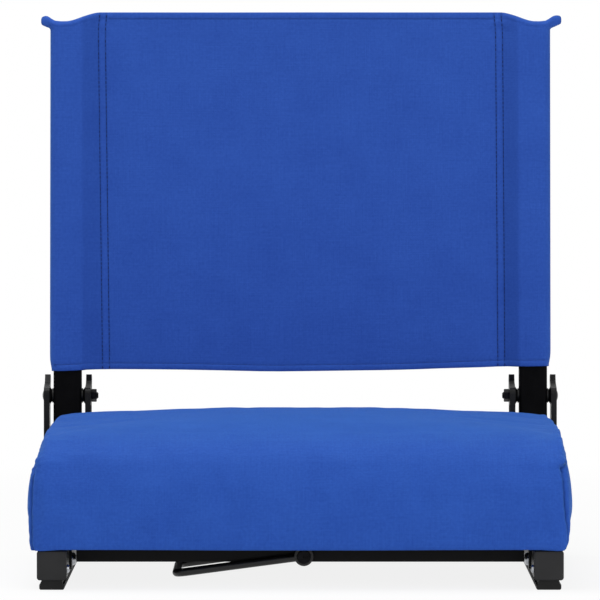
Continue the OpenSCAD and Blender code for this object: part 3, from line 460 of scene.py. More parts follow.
def dress(piece, material):
    piece.data.materials.clear()
    piece.data.materials.append(material)


def read(items, name, width=1, kind=float):
    """What each of a mesh's items holds under a name: one value, or a row of width values."""
    values = np.zeros(len(items) * width, kind)
    items.foreach_get(name, values)
    return values if width == 1 else values.reshape(-1, width)


def points_of(piece):
    return read(piece.data.vertices, "co", 3)


def normals_of(piece):
    return read(piece.data.vertices, "normal", 3)


def set_points(piece, points):
    piece.data.vertices.foreach_set("co", np.asarray(points, float).ravel())
    piece.data.update()


def mode(name):
    bpy.ops.object.mode_set(mode=name)


def faces_in(piece, rule):
    """Selects the faces of a piece in edit mode whose centre and normal pass the rule."""
    mode("OBJECT")
    for face in piece.data.polygons:
        face.select = bool(rule(face.center, face.normal))
    mode("EDIT")
    bpy.ops.mesh.select_mode(type="FACE")


def begin(operator, name, **settings):
    """Adds a primitive, with nothing else selected, and names it."""
    bpy.ops.object.select_all(action="DESELECT")
    operator(**settings)
    piece = bpy.context.object
    piece.name = name
    piece.data.name = name
    bpy.ops.object.transform_apply(location=True, rotation=True, scale=True)
    return piece


def pick(piece):
    """Makes a piece the active one, with nothing else selected."""
    bpy.ops.object.select_all(action="DESELECT")
    bpy.context.view_layer.objects.active = piece
    piece.select_set(True)


def alter(piece, kind, **settings):
    """Adds a modifier and applies it."""
    pick(piece)
    modifier = piece.modifiers.new(kind.title(), kind)
    for key, value in settings.items():
        setattr(modifier, key, value)
    bpy.ops.object.modifier_apply(modifier=modifier.name)


def smooth_shaded(piece, degrees):
    pick(piece)
    bpy.ops.object.shade_smooth_by_angle(angle=math.radians(degrees))


def point_value(piece, name, values):
    attribute = piece.data.attributes.new(name, "FLOAT", "POINT")
    attribute.data.foreach_set("value", np.asarray(values, np.float32))


def ease(x, low, high):
    share = np.clip((x - low) / (high - low), 0, 1)
    return share * share * (3 - 2 * share)


def hill(x, width):
    return np.exp(-((x / width) ** 2))


def lengths(vectors):
    return np.linalg.norm(vectors, axis=1)


# Seat cushion


def seat_top(a, b):
    """Height of the cushion's top, where a and b run from -1 to 1 across and along the seat."""
    across = SIDE_FALL * (1.5 - 0.5 * b * b) * np.abs(a) ** 1.6 * (1 - 0.2 * a**24)
    front = np.interp((1 + b) * (SEAT_MID - SEAT_FRONT), FRONT_BACK, FRONT_FALL)
    rear = REAR_FALL * (1 - (1 - np.clip(b, 0, 1) ** 2.2) ** (1 / 2.2))
    return CROWN - (across**3 + (front + rear) ** 3) ** (1 / 3)


def seat_half(z):
    """Half width of the cushion at height z."""
    swell_z = SEAT_BOTTOM + SWELL_HEIGHT
    below = SIDE_SWELL * (np.clip(swell_z - z, 0, SWELL_HEIGHT) / SWELL_HEIGHT) ** 2
    above = TOP_DRAW * (np.clip(z - swell_z, 0, None) / TOP_HEIGHT) ** 1.6
    puff = np.interp(z - SEAT_BOTTOM, SIDE_HEIGHT, SIDE_PUFF)
    return SEAT_HALF + SIDE_SPARE + puff - below - above


def seat_form(a, b, c, inset):
    """Point of the cushion's skin, from a, b across and along it and c from its foot to its top edge."""
    foot = SEAT_BOTTOM - FOOT_SPARE
    z = foot + (seat_top(a, b) - inset - foot) * c
    raised = np.clip((z - SEAT_BOTTOM) / SWELL_HEIGHT, 0, 1)
    inset = inset * ease(z, SEAT_BOTTOM + INSET_FROM, SEAT_BOTTOM + INSET_FULL)
    swell = 1 - (1 - raised) ** 2
    front = SEAT_FRONT + FRONT_SWELL * (1 - swell) + inset
    rear = SEAT_REAR - REAR_SWELL * (1 - swell) - inset
    half = seat_half(z) - CORNER_DRAW * raised * b * b - inset
    y = SEAT_MID + np.where(b < 0, -b * (front - SEAT_MID), b * (rear - SEAT_MID))
    lean = np.interp(z - SEAT_BOTTOM, SIDE_HEIGHT, SIDE_LEAN)
    return np.stack([a * half + a * a * lean, y, z], axis=1)


def rounded_plan(a, b):
    """Moves the corners of the unit square in to the cushion's corner radius."""
    ring = np.maximum(np.abs(a), np.abs(b))
    edge = np.where(ring > 0, 1 / np.maximum(ring, 1e-9), 0)
    u, v = np.abs(a) * edge, np.abs(b) * edge
    corner_a = 1 - PLAN_CORNER / SEAT_HALF
    corner_b = 1 - PLAN_CORNER / (SEAT_MID - SEAT_FRONT)
    p = np.clip((u - corner_a) / (1 - corner_a), 0, 1)
    q = np.clip((v - corner_b) / (1 - corner_b), 0, 1)
    turn = math.pi / 4 * np.where(p >= q, q, 2 - p)
    both = (p > 0) & (q > 0)
    new_a = np.where(both, corner_a + (1 - corner_a) * np.cos(turn), u)
    new_b = np.where(both, corner_b + (1 - corner_b) * np.sin(turn), v)
    return np.sign(a) * new_a * ring, np.sign(b) * new_b * ring


def seam_route(side):
    """Points of the seam round a side panel, a millimetre apart and with its bends eased."""
    ends = np.array(SEAM_FRONTS[side] + SEAM_REST) * MM * (side, 1, 1)
    route = [ends[0]]
    for first, second in zip(ends[:-1], ends[1:]):
        count = max(2, int(np.linalg.norm(second - first) / MM))
        route += [first + (second - first) * i / count for i in range(1, count + 1)]
    route = np.array(route)
    for _ in range(30):
        route[1:-1] = (route[:-2] + 2 * route[1:-1] + route[2:]) / 4
    return route


def neighbour_mean(piece, values, rounds):
    """Values of a piece's points after each has taken the mean of its neighbours a number of times."""
    first, second = read(piece.data.edges, "vertices", 2, int).T
    count = np.bincount(np.concatenate([first, second]), minlength=len(values))[:, None]
    for _ in range(rounds):
        total = np.zeros_like(values)
        np.add.at(total, first, values[second])
        np.add.at(total, second, values[first])
        values = values * 0.4 + total / count * 0.6
    return values


def near_route(piece, points, route, reach):
    """Distance from each point to a route laid on the piece, and how far along it the nearest place is."""
    found = [piece.closest_point_on_mesh(Vector(p))[1] for p in route]
    along = np.concatenate([[0], np.cumsum(lengths(np.diff(np.array(found), axis=0)))])
    tree = KDTree(len(found))
    for index, place in enumerate(found):
        tree.insert(place, index)
    tree.balance()
    distance = np.full(len(points), reach * 4)
    travel = np.zeros(len(points))
    low = np.min(found, axis=0) - reach
    high = np.max(found, axis=0) + reach
    for index in np.flatnonzero(np.all((points > low) & (points < high), axis=1)):
        _, nearest, gap = tree.find(Vector(points[index]))
        distance[index] = gap
        travel[index] = along[nearest]
    return distance, travel


def inflated(cushion, start, held):
    """Lets air pressure fill the cover, held where its weights say, and returns how far each point moves."""
    group = cushion.vertex_groups.new(name="held")
    for index, weight in enumerate(held):
        group.add([index], float(weight), "REPLACE")
    cloth = cushion.modifiers.new("Cloth", "CLOTH")
    for key, value in CANVAS_CLOTH.items():
        setattr(cloth.settings, key, value)
    cloth.settings.effector_weights.gravity = 0
    cloth.settings.vertex_group_mass = group.name
    cloth.point_cache.frame_start = 1
    cloth.point_cache.frame_end = BLOWN_FRAMES
    for number in range(1, BLOWN_FRAMES + 1):
        bpy.context.scene.frame_set(number)
    bpy.context.view_layer.objects.active = cushion
    bpy.ops.object.modifier_apply(modifier=cloth.name)
    bpy.context.scene.frame_set(1)
    cushion.vertex_groups.clear()
    move = points_of(cushion) - start
    return move * np.minimum(1, FULLEST / np.maximum(lengths(move), 1e-9))[:, None]


def cloth_map(piece, flat):
    """Gives a piece the flat map of its cloth: flat holds a pair of metres for each corner of each face."""
    layer = piece.data.uv_layers.new(name="cloth")
    layer.data.foreach_set("uv", np.asarray(flat, np.float32).ravel())


def corner_points(piece):
    """Index of the point at each corner of each face."""
    return read(piece.data.loops, "vertex_index", kind=int)


def corner_faces(piece):
    """Normal of the face that each corner belongs to."""
    sizes = read(piece.data.polygons, "loop_total", kind=int)
    return np.repeat(read(piece.data.polygons, "normal", 3), sizes, axis=0)


def cushion_flat_map(cushion):
    """The main panel runs from under the front over the top and down the rear. Each side panel is cut by itself."""
    points = points_of(cushion)[corner_points(cushion)]
    normal = corner_faces(cushion)
    drop = np.clip(CROWN - TURN_DOWN - points[:, 2], 0, None) * np.where(points[:, 1] < SEAT_MID, -1, 1)
    steep = ease(np.abs(normal[:, 1]), 0.4, 0.8)
    main = np.stack([points[:, 0], points[:, 1] + drop * steep], axis=1)
    side = points[:, 1:]
    return np.where((np.abs(normal[:, 0]) > 0.62)[:, None], side, main)


def seat_cushion():
    """Sewn cover over its foam: air pressure fills it out, then the seams draw it in again."""
    cushion = begin(bpy.ops.mesh.primitive_cube_add, "seat_cushion", size=2)
    mode("EDIT")
    bpy.ops.mesh.subdivide(number_cuts=47)
    mode("OBJECT")
    unit = points_of(cushion)
    a, b = rounded_plan(unit[:, 0], unit[:, 1])
    set_points(cushion, seat_form(a, b, (unit[:, 2] + 1) / 2, SLACK))
    alter(cushion, "REMESH", mode="VOXEL", voxel_size=CLOTH_STEP, adaptivity=0)
    start = points_of(cushion)
    outwards = normals_of(cushion)
    height = start[:, 2] - SEAT_BOTTOM
    grown = outwards * (SLACK * ease(height, INSET_FROM, INSET_FULL))[:, None]
    held = ease(-height, -INSET_FROM, -INSET_FROM / 2)
    for side in (-1, 1):
        distance, _ = near_route(cushion, start, seam_route(side), 12 * MM)
        held = np.maximum(held, 0.9 * hill(distance, 5 * MM))
    move = inflated(cushion, start, held)
    grown = grown + (move - neighbour_mean(cushion, move, WRINKLE_ROUNDS)) * WRINKLE_SHARE
    set_points(cushion, start + grown)
    alter(cushion, "SUBSURF", levels=1, render_levels=1)
    refine_seams(cushion)
    sew_cushion(cushion)
    return cushion


def refine_seams(cushion):
    """Halves the faces along the side seams and the top side edges, for the creases there."""
    points = points_of(cushion)
    near = lengths(edge_fullness(points)) > 0.25 * MM
    for side in (-1, 1):
        near |= near_route(cushion, points, seam_route(side), SEAM_REACH)[0] < SEAM_REACH
    mode("EDIT")
    bpy.ops.mesh.select_mode(type="VERT")
    bpy.ops.mesh.select_all(action="DESELECT")
    mode("OBJECT")
    cushion.data.vertices.foreach_set("select", near)
    mode("EDIT")
    bpy.ops.mesh.subdivide(number_cuts=1)
    mode("OBJECT")


def edge_fullness(points):
    """How far the top side edges of the foam push the cover up and out of its round form: most on the right."""
    x, y, z = points.T
    side = np.sign(x)
    b = (y - SEAT_MID) / (SEAT_MID - SEAT_FRONT)
    half = seat_half(z) + side * np.interp(z - SEAT_BOTTOM, SIDE_HEIGHT, SIDE_LEAN) - CORNER_DRAW * b * b
    under_top = seat_top(np.clip(x / half, -1, 1), np.clip(b, -1, 1)) - z
    inside = half - np.abs(x)
    full = np.where(x > 0, RIGHT_EDGE_FULL, LEFT_EDGE_FULL) * hill(under_top - inside, EDGE_WIDTH)
    full = full * ease(y, -183 * MM, -160 * MM)
    return np.stack([side * full * EDGE_OUT, full * 0, full * EDGE_UP], axis=1)


def seam_crease(distance, travel):
    """How deep a seam draws the cloth in: its groove, the lip beside it and the puckers across it."""
    groove = 1.7 * MM * hill(distance, 1.5 * MM)
    lip = 0.45 * MM * hill(distance - 4.2 * MM, 2.6 * MM)
    gather = np.sin(travel / (1.45 * MM)) * 0.5 + np.sin(travel / (2.3 * MM) + 1.7) * 0.5
    return groove - lip + 0.3 * MM * gather * hill(distance - 3 * MM, 4.5 * MM)


def corner_pinch(points, pinch, gap):
    """How deep a front corner is drawn in round its pinch, with seven small folds that run out from it."""
    angle = np.arctan2(points[:, 2] - pinch[2], points[:, 1] - pinch[1])
    return 2.8 * MM * hill(gap, 4 * MM) + 0.5 * MM * np.sin(angle * 7) * hill(gap - 8 * MM, 6 * MM)


def folded_under(points, outwards):
    """Flattens the foot, lifts its front off the crossbar and leaves the step where the margin ends on the board."""
    under = outwards[:, 2] < -0.75
    inside_x = np.abs(points[:, 0]) < dust_high.x - DUST_LAP
    inside_y = (points[:, 1] > dust_low.y + DUST_LAP) & (points[:, 1] < dust_high.y - DUST_LAP)
    lift = np.interp(np.abs(points[:, 0]), LIFT_OUT, FRONT_LIFT) * ease(-points[:, 1], 172 * MM, 185 * MM)
    points[under, 2] = SEAT_BOTTOM
    points[under & inside_x & inside_y, 2] = SEAT_BOTTOM + MARGIN_THICK
    points[:, 2] = np.maximum(points[:, 2], SEAT_BOTTOM + lift)
    return points


def sew_cushion(cushion):
    """Draws the side seams and corners in, fills the edges of the foam and folds the margin under the board. It
    paints shade into each seam's crease and round each pinch.
    """
    points = points_of(cushion)
    outwards = normals_of(cushion)
    sink = np.zeros(len(points))
    shade = np.zeros(len(points))
    for side, pinch in PINCHES.items():
        distance, travel = near_route(cushion, points, seam_route(side), 24 * MM)
        gap = lengths(points - pinch)
        sink += seam_crease(distance, travel) + corner_pinch(points, pinch, gap)
        # Painted shade in the crease of each seam and round each corner pinch
        shade = np.maximum(shade, 0.8 * hill(distance, 1.1 * MM))
        shade = np.maximum(shade, 0.7 * hill(gap, 2.6 * MM))
    foam_edge = hill(points[:, 2] - FOAM_EDGE_HEIGHT, 5 * MM) * ease(-points[:, 1], 165 * MM, 180 * MM)
    sink -= 0.5 * MM * foam_edge * (1 + 0.5 * np.sin(points[:, 0] / (31 * MM)))
    fullness = edge_fullness(points)
    points = points - outwards * sink[:, None] + fullness
    even = np.clip(lengths(fullness) / (0.5 * MM), 0, 1)[:, None]
    points = points + (neighbour_mean(cushion, points, 5) - points) * even
    set_points(cushion, folded_under(points, outwards))
    point_value(cushion, "shade", shade)
    cloth_map(cushion, cushion_flat_map(cushion))
    smooth_shaded(cushion, 60)


# Back sleeve


def on_back(x, y, w):
    """Points of the back, from x across, y behind the uprights' middle and w along them from the pivot."""
    c, s = math.cos(RECLINE), math.sin(RECLINE)
    longer = ease(x, POCKET_OUT + 1 * MM, POCKET_OUT + 8 * MM)
    x, w = x + seam_lean(x, w) + RIGHT_EAR_OUT * longer, w + foot_rise(x, w) + RIGHT_EAR_UP * longer
    return np.stack([x, PIVOT.y + y * c + w * s, PIVOT.z - y * s + w * c], axis=-1)


def foot_rise(x, w):
    """How far the wavering lower edge lifts the cloth over x and w."""
    return np.interp(x, FOOT_ACROSS, FOOT_RISE) * ease(SLEEVE_LOW - w, -55 * MM, -7 * MM)


def seam_lean(x, w):
    """How far the rows of stitches wander to one side on their way down, and in at their upper ends."""
    lower = (SLEEVE_TOP - w) / (SLEEVE_TOP - SLEEVE_LOW)
    left, right = hill(x + STITCH_MID, LEAN_WIDTH), hill(x - STITCH_MID, LEAN_WIDTH)
    drawn = SEAM_DRAW * hill(SLEEVE_TOP - w, 11 * MM)
    return lower * (LEAN_LEFT * left + LEAN_RIGHT * right) + drawn * (left - right)


def sleeve_top(x):
    """Height of the top edge at distance x from the middle: it dips over the pocket and rises to its corner."""
    dip = POCKET_DIP * ease(x, STITCH_OUT - 1 * MM, UPRIGHT_IN + 15 * MM)
    rise = EAR_RISE * ease(x, UPRIGHT_OUT - 3.5 * MM, POCKET_OUT + 4.5 * MM)
    tip = 1.4 * MM * np.clip((x - POCKET_OUT - 5 * MM) / (2.6 * MM), 0, 1.2) ** 2
    return SLEEVE_TOP - dip + rise - tip


def ear_reach(w):
    """How far the free corner of a pocket stands out at height w: a soft lobe just under the top edge."""
    return np.interp(SLEEVE_TOP - w, EAR_DROP, EAR_REACH)


def panel_sway(x, w):
    """How far the middle panel lies behind the flat: a shallow sag and the soft waves of slack cloth."""
    span = np.clip(1 - (x / STITCH_IN) ** 2, 0, 1)
    sag = 2.6 * MM * span * np.sin(math.pi * np.clip((w - SLEEVE_LOW) / (SLEEVE_TOP - SLEEVE_LOW), 0, 1))
    waves = (
        0.75 * np.sin(x / (47 * MM) + w / (120 * MM) + 0.6)
        + 0.6 * np.sin(x / (26 * MM) - w / (90 * MM) + 2.1)
        + 0.45 * np.sin(w / (38 * MM) + x / (150 * MM) + 1.1)
    )
    lower = np.clip((SLEEVE_TOP - w) / (SLEEVE_TOP - SLEEVE_LOW), 0, 1)
    return sag + waves * MM * span * (0.45 + 0.55 * lower)


def gathers(x, w, side):
    """Small folds that the pocket stitches and hems draw into the cloth."""
    gap = np.abs(np.abs(x) - STITCH_MID)
    phase = np.where(x > 0, 1.3, 4.1) + side * 0.9
    top = 1 + 2.4 * ease(w, SLEEVE_TOP - 52 * MM, SLEEVE_TOP - 8 * MM)
    fine = np.sin((w + 0.5 * gap) / (1.9 * MM) + phase) + 0.8 * np.sin((w - 0.3 * gap) / (3.1 * MM) + phase * 2)
    folds = 0.11 * MM * fine * top * hill(gap - 3 * MM, 7 * MM)
    hem = w - SLEEVE_LOW - HEM
    crest = sleeve_top(np.abs(x)) - TOP_HEM - w
    ruffle = np.sin(x / (1.7 * MM) + side) + 0.7 * np.sin(x / (2.9 * MM) + 2 * side)
    return folds + 0.09 * MM * ruffle * (hill(hem, 5 * MM) + hill(crest, 4.5 * MM))


def sleeve_half(x, w):
    """Half the sleeve's thickness, to the middle of its cloth: layers together, and apart round an upright."""
    opened = np.clip((x - STITCH_OUT - 1.2 * MM) / (UPRIGHT_IN - STITCH_OUT - 1.2 * MM), 0, 1)
    thinned = 1 - 0.55 * ease(x, POCKET_OUT - 1 * MM, POCKET_OUT + 6 * MM)
    pocket = LAYER_HALF + (POCKET_HALF - LAYER_HALF) * opened * thinned
    bowed = 0.35 * MM * hill(x - (UPRIGHT_IN + UPRIGHT_OUT) / 2, 9 * MM)
    drop = np.clip(sleeve_top(x) - w, 0, None)
    reach = (5 + 8 * ease(x, UPRIGHT_OUT - 4 * MM, POCKET_OUT + 2 * MM)) * MM
    share = (1 - (1 - np.clip(drop / reach, 0, 1)) ** 3) ** (1 / 3)
    closed = np.maximum(LAYER_HALF, (pocket + bowed) * share)
    drawn = 0.25 * MM * (hill(x - STITCH_OUT, 1.1 * MM) + hill(x - STITCH_IN, 1.1 * MM))
    hem = w - SLEEVE_LOW
    folded = 0.5 * MM * ease(hem, 0, 1.2 * MM) * ease(-hem, -HEM, -HEM + 1.4 * MM)
    crest = 0.35 * MM * ease(drop, 0, 1.4 * MM) * ease(-drop, -TOP_HEM, -TOP_HEM + 1.4 * MM)
    lines = 0.2 * MM * (hill(hem - HEM, 1.1 * MM) + hill(drop - TOP_HEM, 1.1 * MM))
    return closed + folded + crest - drawn - lines


def sleeve_surface(x, w, side):
    """Middle of the cloth, in front where side is -1 and behind where it is 1."""
    return side * (sleeve_half(np.abs(x), w) + gathers(x, w, side)) + panel_sway(x, w)


def sleeve_rows(x):
    """Heights of the sleeve's points over x: close rows at the hems and even ones between."""
    top = sleeve_top(x)
    low, high = SLEEVE_LOW + FOOT_ROWS[-1], top - HEAD_ROWS[0]
    middle = low + (high - low) * np.linspace(0, 1, EVEN_ROWS + 2)[1:-1]
    return np.concatenate([SLEEVE_LOW + FOOT_ROWS, middle, top - HEAD_ROWS])


def outer_fold(w, turn):
    """Place across and share of the thickness round a pocket's outer side, from turn 0 to its tip at a quarter."""
    foot = 1.6 * MM * hill(w - SLEEVE_LOW, 7 * MM)
    reach = POCKET_OUT - FOLD_FROM + ear_reach(w) - foot
    return FOLD_FROM + reach * math.sin(turn) ** FOLD_POWER, math.cos(turn) ** FOLD_POWER


def sleeve_rounds():
    """Columns of the sleeve in their order round it: places across, heights, shares of the thickness and sides."""
    quarter = []
    for x in np.concatenate([np.linspace(*run, endpoint=False) for run in COLUMN_RUNS]) * MM:
        w = sleeve_rows(x)
        quarter.append((np.full(len(w), x), w, np.ones(len(w))))
    for turn in np.linspace(0, math.pi / 2, FOLD_STEPS):
        w = sleeve_rows(FOLD_FROM + (POCKET_OUT - FOLD_FROM + EAR_TOP) * math.sin(turn) ** FOLD_POWER)
        x, share = outer_fold(w, turn)
        quarter.append((x, w, np.full(len(w), share)))
    runs = [(-1, -1, quarter[::-1]), (-1, 1, quarter[1:]), (1, 1, quarter[-2::-1]), (1, -1, quarter[1:-1])]
    columns = [(sign * x, w, share, np.full(len(w), side)) for side, sign, run in runs for x, w, share in run]
    return [np.array(part) for part in zip(*columns)]


def sleeve_shade(x, w):
    """How much painted shade darkens the sleeve: in its stitched lines, along its hems and in the valley beside an
    upright.
    """
    seam = np.maximum(hill(x - STITCH_OUT, 0.9 * MM), hill(x - STITCH_IN, 0.9 * MM)) * (x < UPRIGHT_IN)
    crest = hill(sleeve_top(x) - w - TOP_HEM, 0.9 * MM) * (x < STITCH_IN)
    hems = np.maximum(hill(w - SLEEVE_LOW - HEM, 0.9 * MM), crest)
    # Painted shade in the valley between the outer stitches and the upright
    valley = 0.1 * ease(x, STITCH_OUT, STITCH_OUT + 3 * MM) * ease(-x, -UPRIGHT_IN - 1 * MM, 2 * MM - UPRIGHT_IN)
    return np.maximum(0.36 * seam, 0.16 * hems) + valley


def back_sleeve():
    """Sleeve of two layers of canvas, open below, that is drawn over both uprights and sewn between them."""
    width, height, share, side = sleeve_rounds()
    sway = panel_sway(width, height)
    half = sleeve_half(np.abs(width), height) + gathers(width, height, side)
    depth = side * half * share + sway
    depth[:, -1] = sway[:, -1]
    columns, rows = width.shape
    cuts = {"x_subdivisions": columns, "y_subdivisions": rows - 1}
    sleeve = begin(bpy.ops.mesh.primitive_grid_add, "back_sleeve", size=1, **cuts)
    unit = points_of(sleeve)
    flat_column = np.rint((unit[:, 0] + 0.5) * columns).astype(int)
    column = flat_column % columns
    row = np.rint((unit[:, 1] + 0.5) * (rows - 1)).astype(int)
    set_points(sleeve, on_back(width, depth, height)[column, row])
    middle = rows // 2
    steps = np.hypot(np.diff(width[:, middle]), np.diff(depth[:, middle]))
    around = np.concatenate([[0], np.cumsum(steps)])
    around = np.append(around, around[-1] + steps[0])
    flat = np.stack([around[flat_column], height[column, row]], axis=1)
    cloth_map(sleeve, flat[corner_points(sleeve)])
    point_value(sleeve, "shade", sleeve_shade(np.abs(width[column, row]), height[column, row]))
    close_sleeve(sleeve)
    return sleeve


def close_sleeve(sleeve):
    """Joins the grid's ends and the top edges, turns the faces outwards and gives the cloth its thickness."""
    bpy.context.view_layer.objects.active = sleeve
    mode("EDIT")
    bpy.ops.mesh.select_all(action="SELECT")
    bpy.ops.mesh.remove_doubles(threshold=0.02 * MM)
    bpy.ops.mesh.normals_make_consistent(inside=False)
    mode("OBJECT")
    alter(sleeve, "SOLIDIFY", thickness=CLOTH_THICK, offset=0)
    smooth_shaded(sleeve, 60)


# Stitches


def one_stitch():
    """A stitch: a short thread whose two ends dive into the cloth."""
    size = {"radius": STITCH_RADIUS, "depth": STITCH_LENGTH}
    stitch = begin(bpy.ops.mesh.primitive_cylinder_add, "stitch", vertices=6, **size)
    mode("EDIT")
    faces_in(stitch, lambda centre, normal: abs(normal.z) > 0.9)
    bpy.ops.mesh.extrude_region_move()
    bpy.ops.mesh.inset(thickness=0.12 * MM)
    mode("OBJECT")
    points = points_of(stitch)
    ends = np.abs(points[:, 2]) > 1.2 * MM
    points[ends, 1] += 0.3 * MM
    set_points(stitch, points)
    return stitch


def stitch_row(stitch, spots, ways, outs):
    """Points of each stitch of a row, which lies along its way with its back to the cloth."""
    shape = points_of(stitch)
    placed = []
    for spot, way, out in zip(spots, ways, outs):
        way = way / np.linalg.norm(way)
        out = out - way * (out @ way)
        out = out / np.linalg.norm(out)
        across = np.cross(way, out)
        placed.append(spot + shape @ np.stack([across, -out, way]))
    return placed


def sewn(name, stitch, rows, material):
    """One piece of all the rows of stitches."""
    placed = [points for row in rows for points in row]
    faces = [list(face.vertices) for face in stitch.data.polygons]
    count = len(stitch.data.vertices)
    every = [[index + number * count for index in face] for number in range(len(placed)) for face in faces]
    mesh = bpy.data.meshes.new(name)
    mesh.from_pydata(np.concatenate(placed).tolist(), [], every)
    piece = new_object(mesh)
    dress(piece, material)
    smooth_shaded(piece, 50)
    return piece


def sleeve_stitches(stitch, xs, ws, side):
    """Stitches on the sleeve through the places xs, ws, one every pitch along them."""
    x, w = np.asarray(xs), np.asarray(ws)
    lift = (CLOTH_THICK / 2 + 0.12 * MM) * side
    spots = on_back(x, sleeve_surface(x, w, side) + lift, w)
    ways = np.gradient(spots, axis=0)
    outs = np.tile(on_back(0, side, 0) - on_back(0, 0, 0), (len(x), 1))
    return stitch_row(stitch, spots, ways, outs)


def pocket_sewing(stitch, material):
    """Two rows of stitches beside each pocket, on both faces of the back."""
    upwards = np.arange(SLEEVE_LOW + 2 * MM, SLEEVE_TOP - 3 * MM, PITCH)
    rows = []
    for side in (-1, 1):
        for x in (-STITCH_OUT, -STITCH_IN, STITCH_IN, STITCH_OUT):
            rows.append(sleeve_stitches(stitch, np.full(len(upwards), x), upwards, side))
    return sewn("back_stitches", stitch, rows, material)


def hem_sewing(stitch, material):
    """A row of stitches along each hem, on both faces: across the whole foot, and between the pockets above."""
    across = np.arange(-HEM_END, HEM_END, PITCH)
    inner = across[np.abs(across) < STITCH_IN - 2 * MM]
    rows = []
    for side in (-1, 1):
        rows.append(sleeve_stitches(stitch, across, np.full(len(across), SLEEVE_LOW + HEM), side))
        rows.append(sleeve_stitches(stitch, inner, sleeve_top(np.abs(inner)) - TOP_HEM, side))
    return sewn("hem_stitches", stitch, rows, material)


# Underside


def dust_cloth(material):
    """Thin cloth that closes the underside of the seat, a little slack between the crossbars."""
    low, high = dust_low, dust_high
    size = high - low
    cloth = begin(bpy.ops.mesh.primitive_grid_add, "seat_dust_cloth", x_subdivisions=96, y_subdivisions=64, size=1)
    unit = points_of(cloth)
    x, y = unit[:, 0] * size.x, unit[:, 1] * size.y + (low.y + high.y) / 2
    free = np.clip(1 - (unit[:, 0] * 2) ** 4, 0, 1) * np.clip(1 - (unit[:, 1] * 2) ** 4, 0, 1)
    waves = np.sin(x / (23 * MM) + y / (61 * MM)) + np.sin(y / (19 * MM) - x / (83 * MM))
    z = (low.z + high.z) / 2 + (0.08 * waves - 0.1) * MM * free
    set_points(cloth, np.stack([x, y, z], axis=1))
    cloth_map(cloth, np.stack([x, y], axis=1)[corner_points(cloth)])
    alter(cloth, "SOLIDIFY", thickness=0.5 * MM, offset=0)
    dress(cloth, material)
    smooth_shaded(cloth, 60)
    return cloth


def one_staple():
    """A wire staple, seen from its crown, with its shoulders bent into the cloth."""
    staple = begin(bpy.ops.mesh.primitive_cube_add, "staple", size=1)
    set_points(staple, points_of(staple) * (1.2 * MM, 0.6 * MM, 11 * MM))
    alter(staple, "BEVEL", width=0.25 * MM, segments=2)
    return staple


def cover_staples(material):
    """Staples that hold the cover's margin to the board, in the strips that the base leaves free."""
    staple = one_staple()
    strip = 7 * MM
    across = np.linspace(-165, 165, 12) * MM
    along = np.linspace(-88, 88, 5) * MM
    places = [(x, y, 90) for y in (dust_low.y - strip * 1.6, dust_high.y + strip) for x in across]
    places += [(side * (dust_high.x + strip * 0.8), y, 0) for side in (-1, 1) for y in along]
    x, y, angle = np.array(places).T
    wobble = np.sin(np.arange(len(x)) * 2.4)
    turn = np.radians(angle + 9 * wobble)
    spots = np.stack([x, y + 0.8 * MM * wobble, np.full(len(x), SEAT_BOTTOM)], axis=1)
    ways = np.stack([np.sin(turn), np.cos(turn), turn * 0], axis=1)
    row = stitch_row(staple, spots, ways, np.tile([0, 0, -1], (len(x), 1)))
    piece = sewn("cover_staples", staple, [row], material)
    bpy.data.objects.remove(staple)
    return piece


def carry_webbing(material):
    """Woven handle, flat under its end plates and bowed out between them."""
    low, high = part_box("carry_strap")
    handle = begin(bpy.ops.mesh.primitive_grid_add, "carry_webbing", x_subdivisions=120, y_subdivisions=8, size=1)
    unit = points_of(handle)
    span, flat_end, bow, thick = high.x - low.x, 25 * MM, high.y - low.y - 1.8 * MM, 1.5 * MM
    x = unit[:, 0] * span
    reach = np.clip(np.abs(x) / (span / 2 - flat_end), 0, 1)
    y = low.y + 0.9 * MM + bow * (1 - reach**3) ** 1.5
    cup = 0.9 * MM * (1 - (unit[:, 1] * 2) ** 2) * ease(-reach, -0.9, -0.4)
    z = (low.z + high.z) / 2 + unit[:, 1] * (high.z - low.z)
    set_points(handle, np.stack([x, y + cup, z], axis=1))
    cloth_map(handle, np.stack([z, x - x.min()], axis=1)[corner_points(handle)])
    alter(handle, "SOLIDIFY", thickness=thick, offset=0)
    alter(handle, "BEVEL", width=0.5 * MM, segments=2, limit_method="ANGLE")
    dress(handle, material)
    smooth_shaded(handle, 50)
    return handle


# Room


def camera():
    data = bpy.data.cameras.new("camera")
    data.lens = CAMERA_LENS
    data.sensor_width = 36
    data.clip_end = 60
    made = new_object(data)
    made.location = CAMERA_PLACE
    made.rotation_euler = Euler((math.radians(CAMERA_PITCH), 0, 0))
    bpy.context.scene.camera = made


def lamp(name, place, target, size, watts):
    data = bpy.data.lights.new(name, "AREA")
    data.shape = "RECTANGLE"
    data.size, data.size_y = size
    data.energy = watts
    made = new_object(data)
    made.location = place
    made.rotation_euler = (Vector(target) - Vector(place)).to_track_quat("-Z", "Y").to_euler()


def seen_rays(tree):
    """1 for the rays that show the room itself: the camera's, and those mirrored or let through to it."""
    path = tree.nodes.new("ShaderNodeLightPath")
    total = path.outputs["Is Camera Ray"]
    for name in ("Is Glossy Ray", "Is Transmission Ray"):
        most = tree.nodes.new("ShaderNodeMath")
        most.operation = "MAXIMUM"
        tree.links.new(total, most.inputs[0])
        tree.links.new(path.outputs[name], most.inputs[1])
        total = most.outputs[0]
    return total


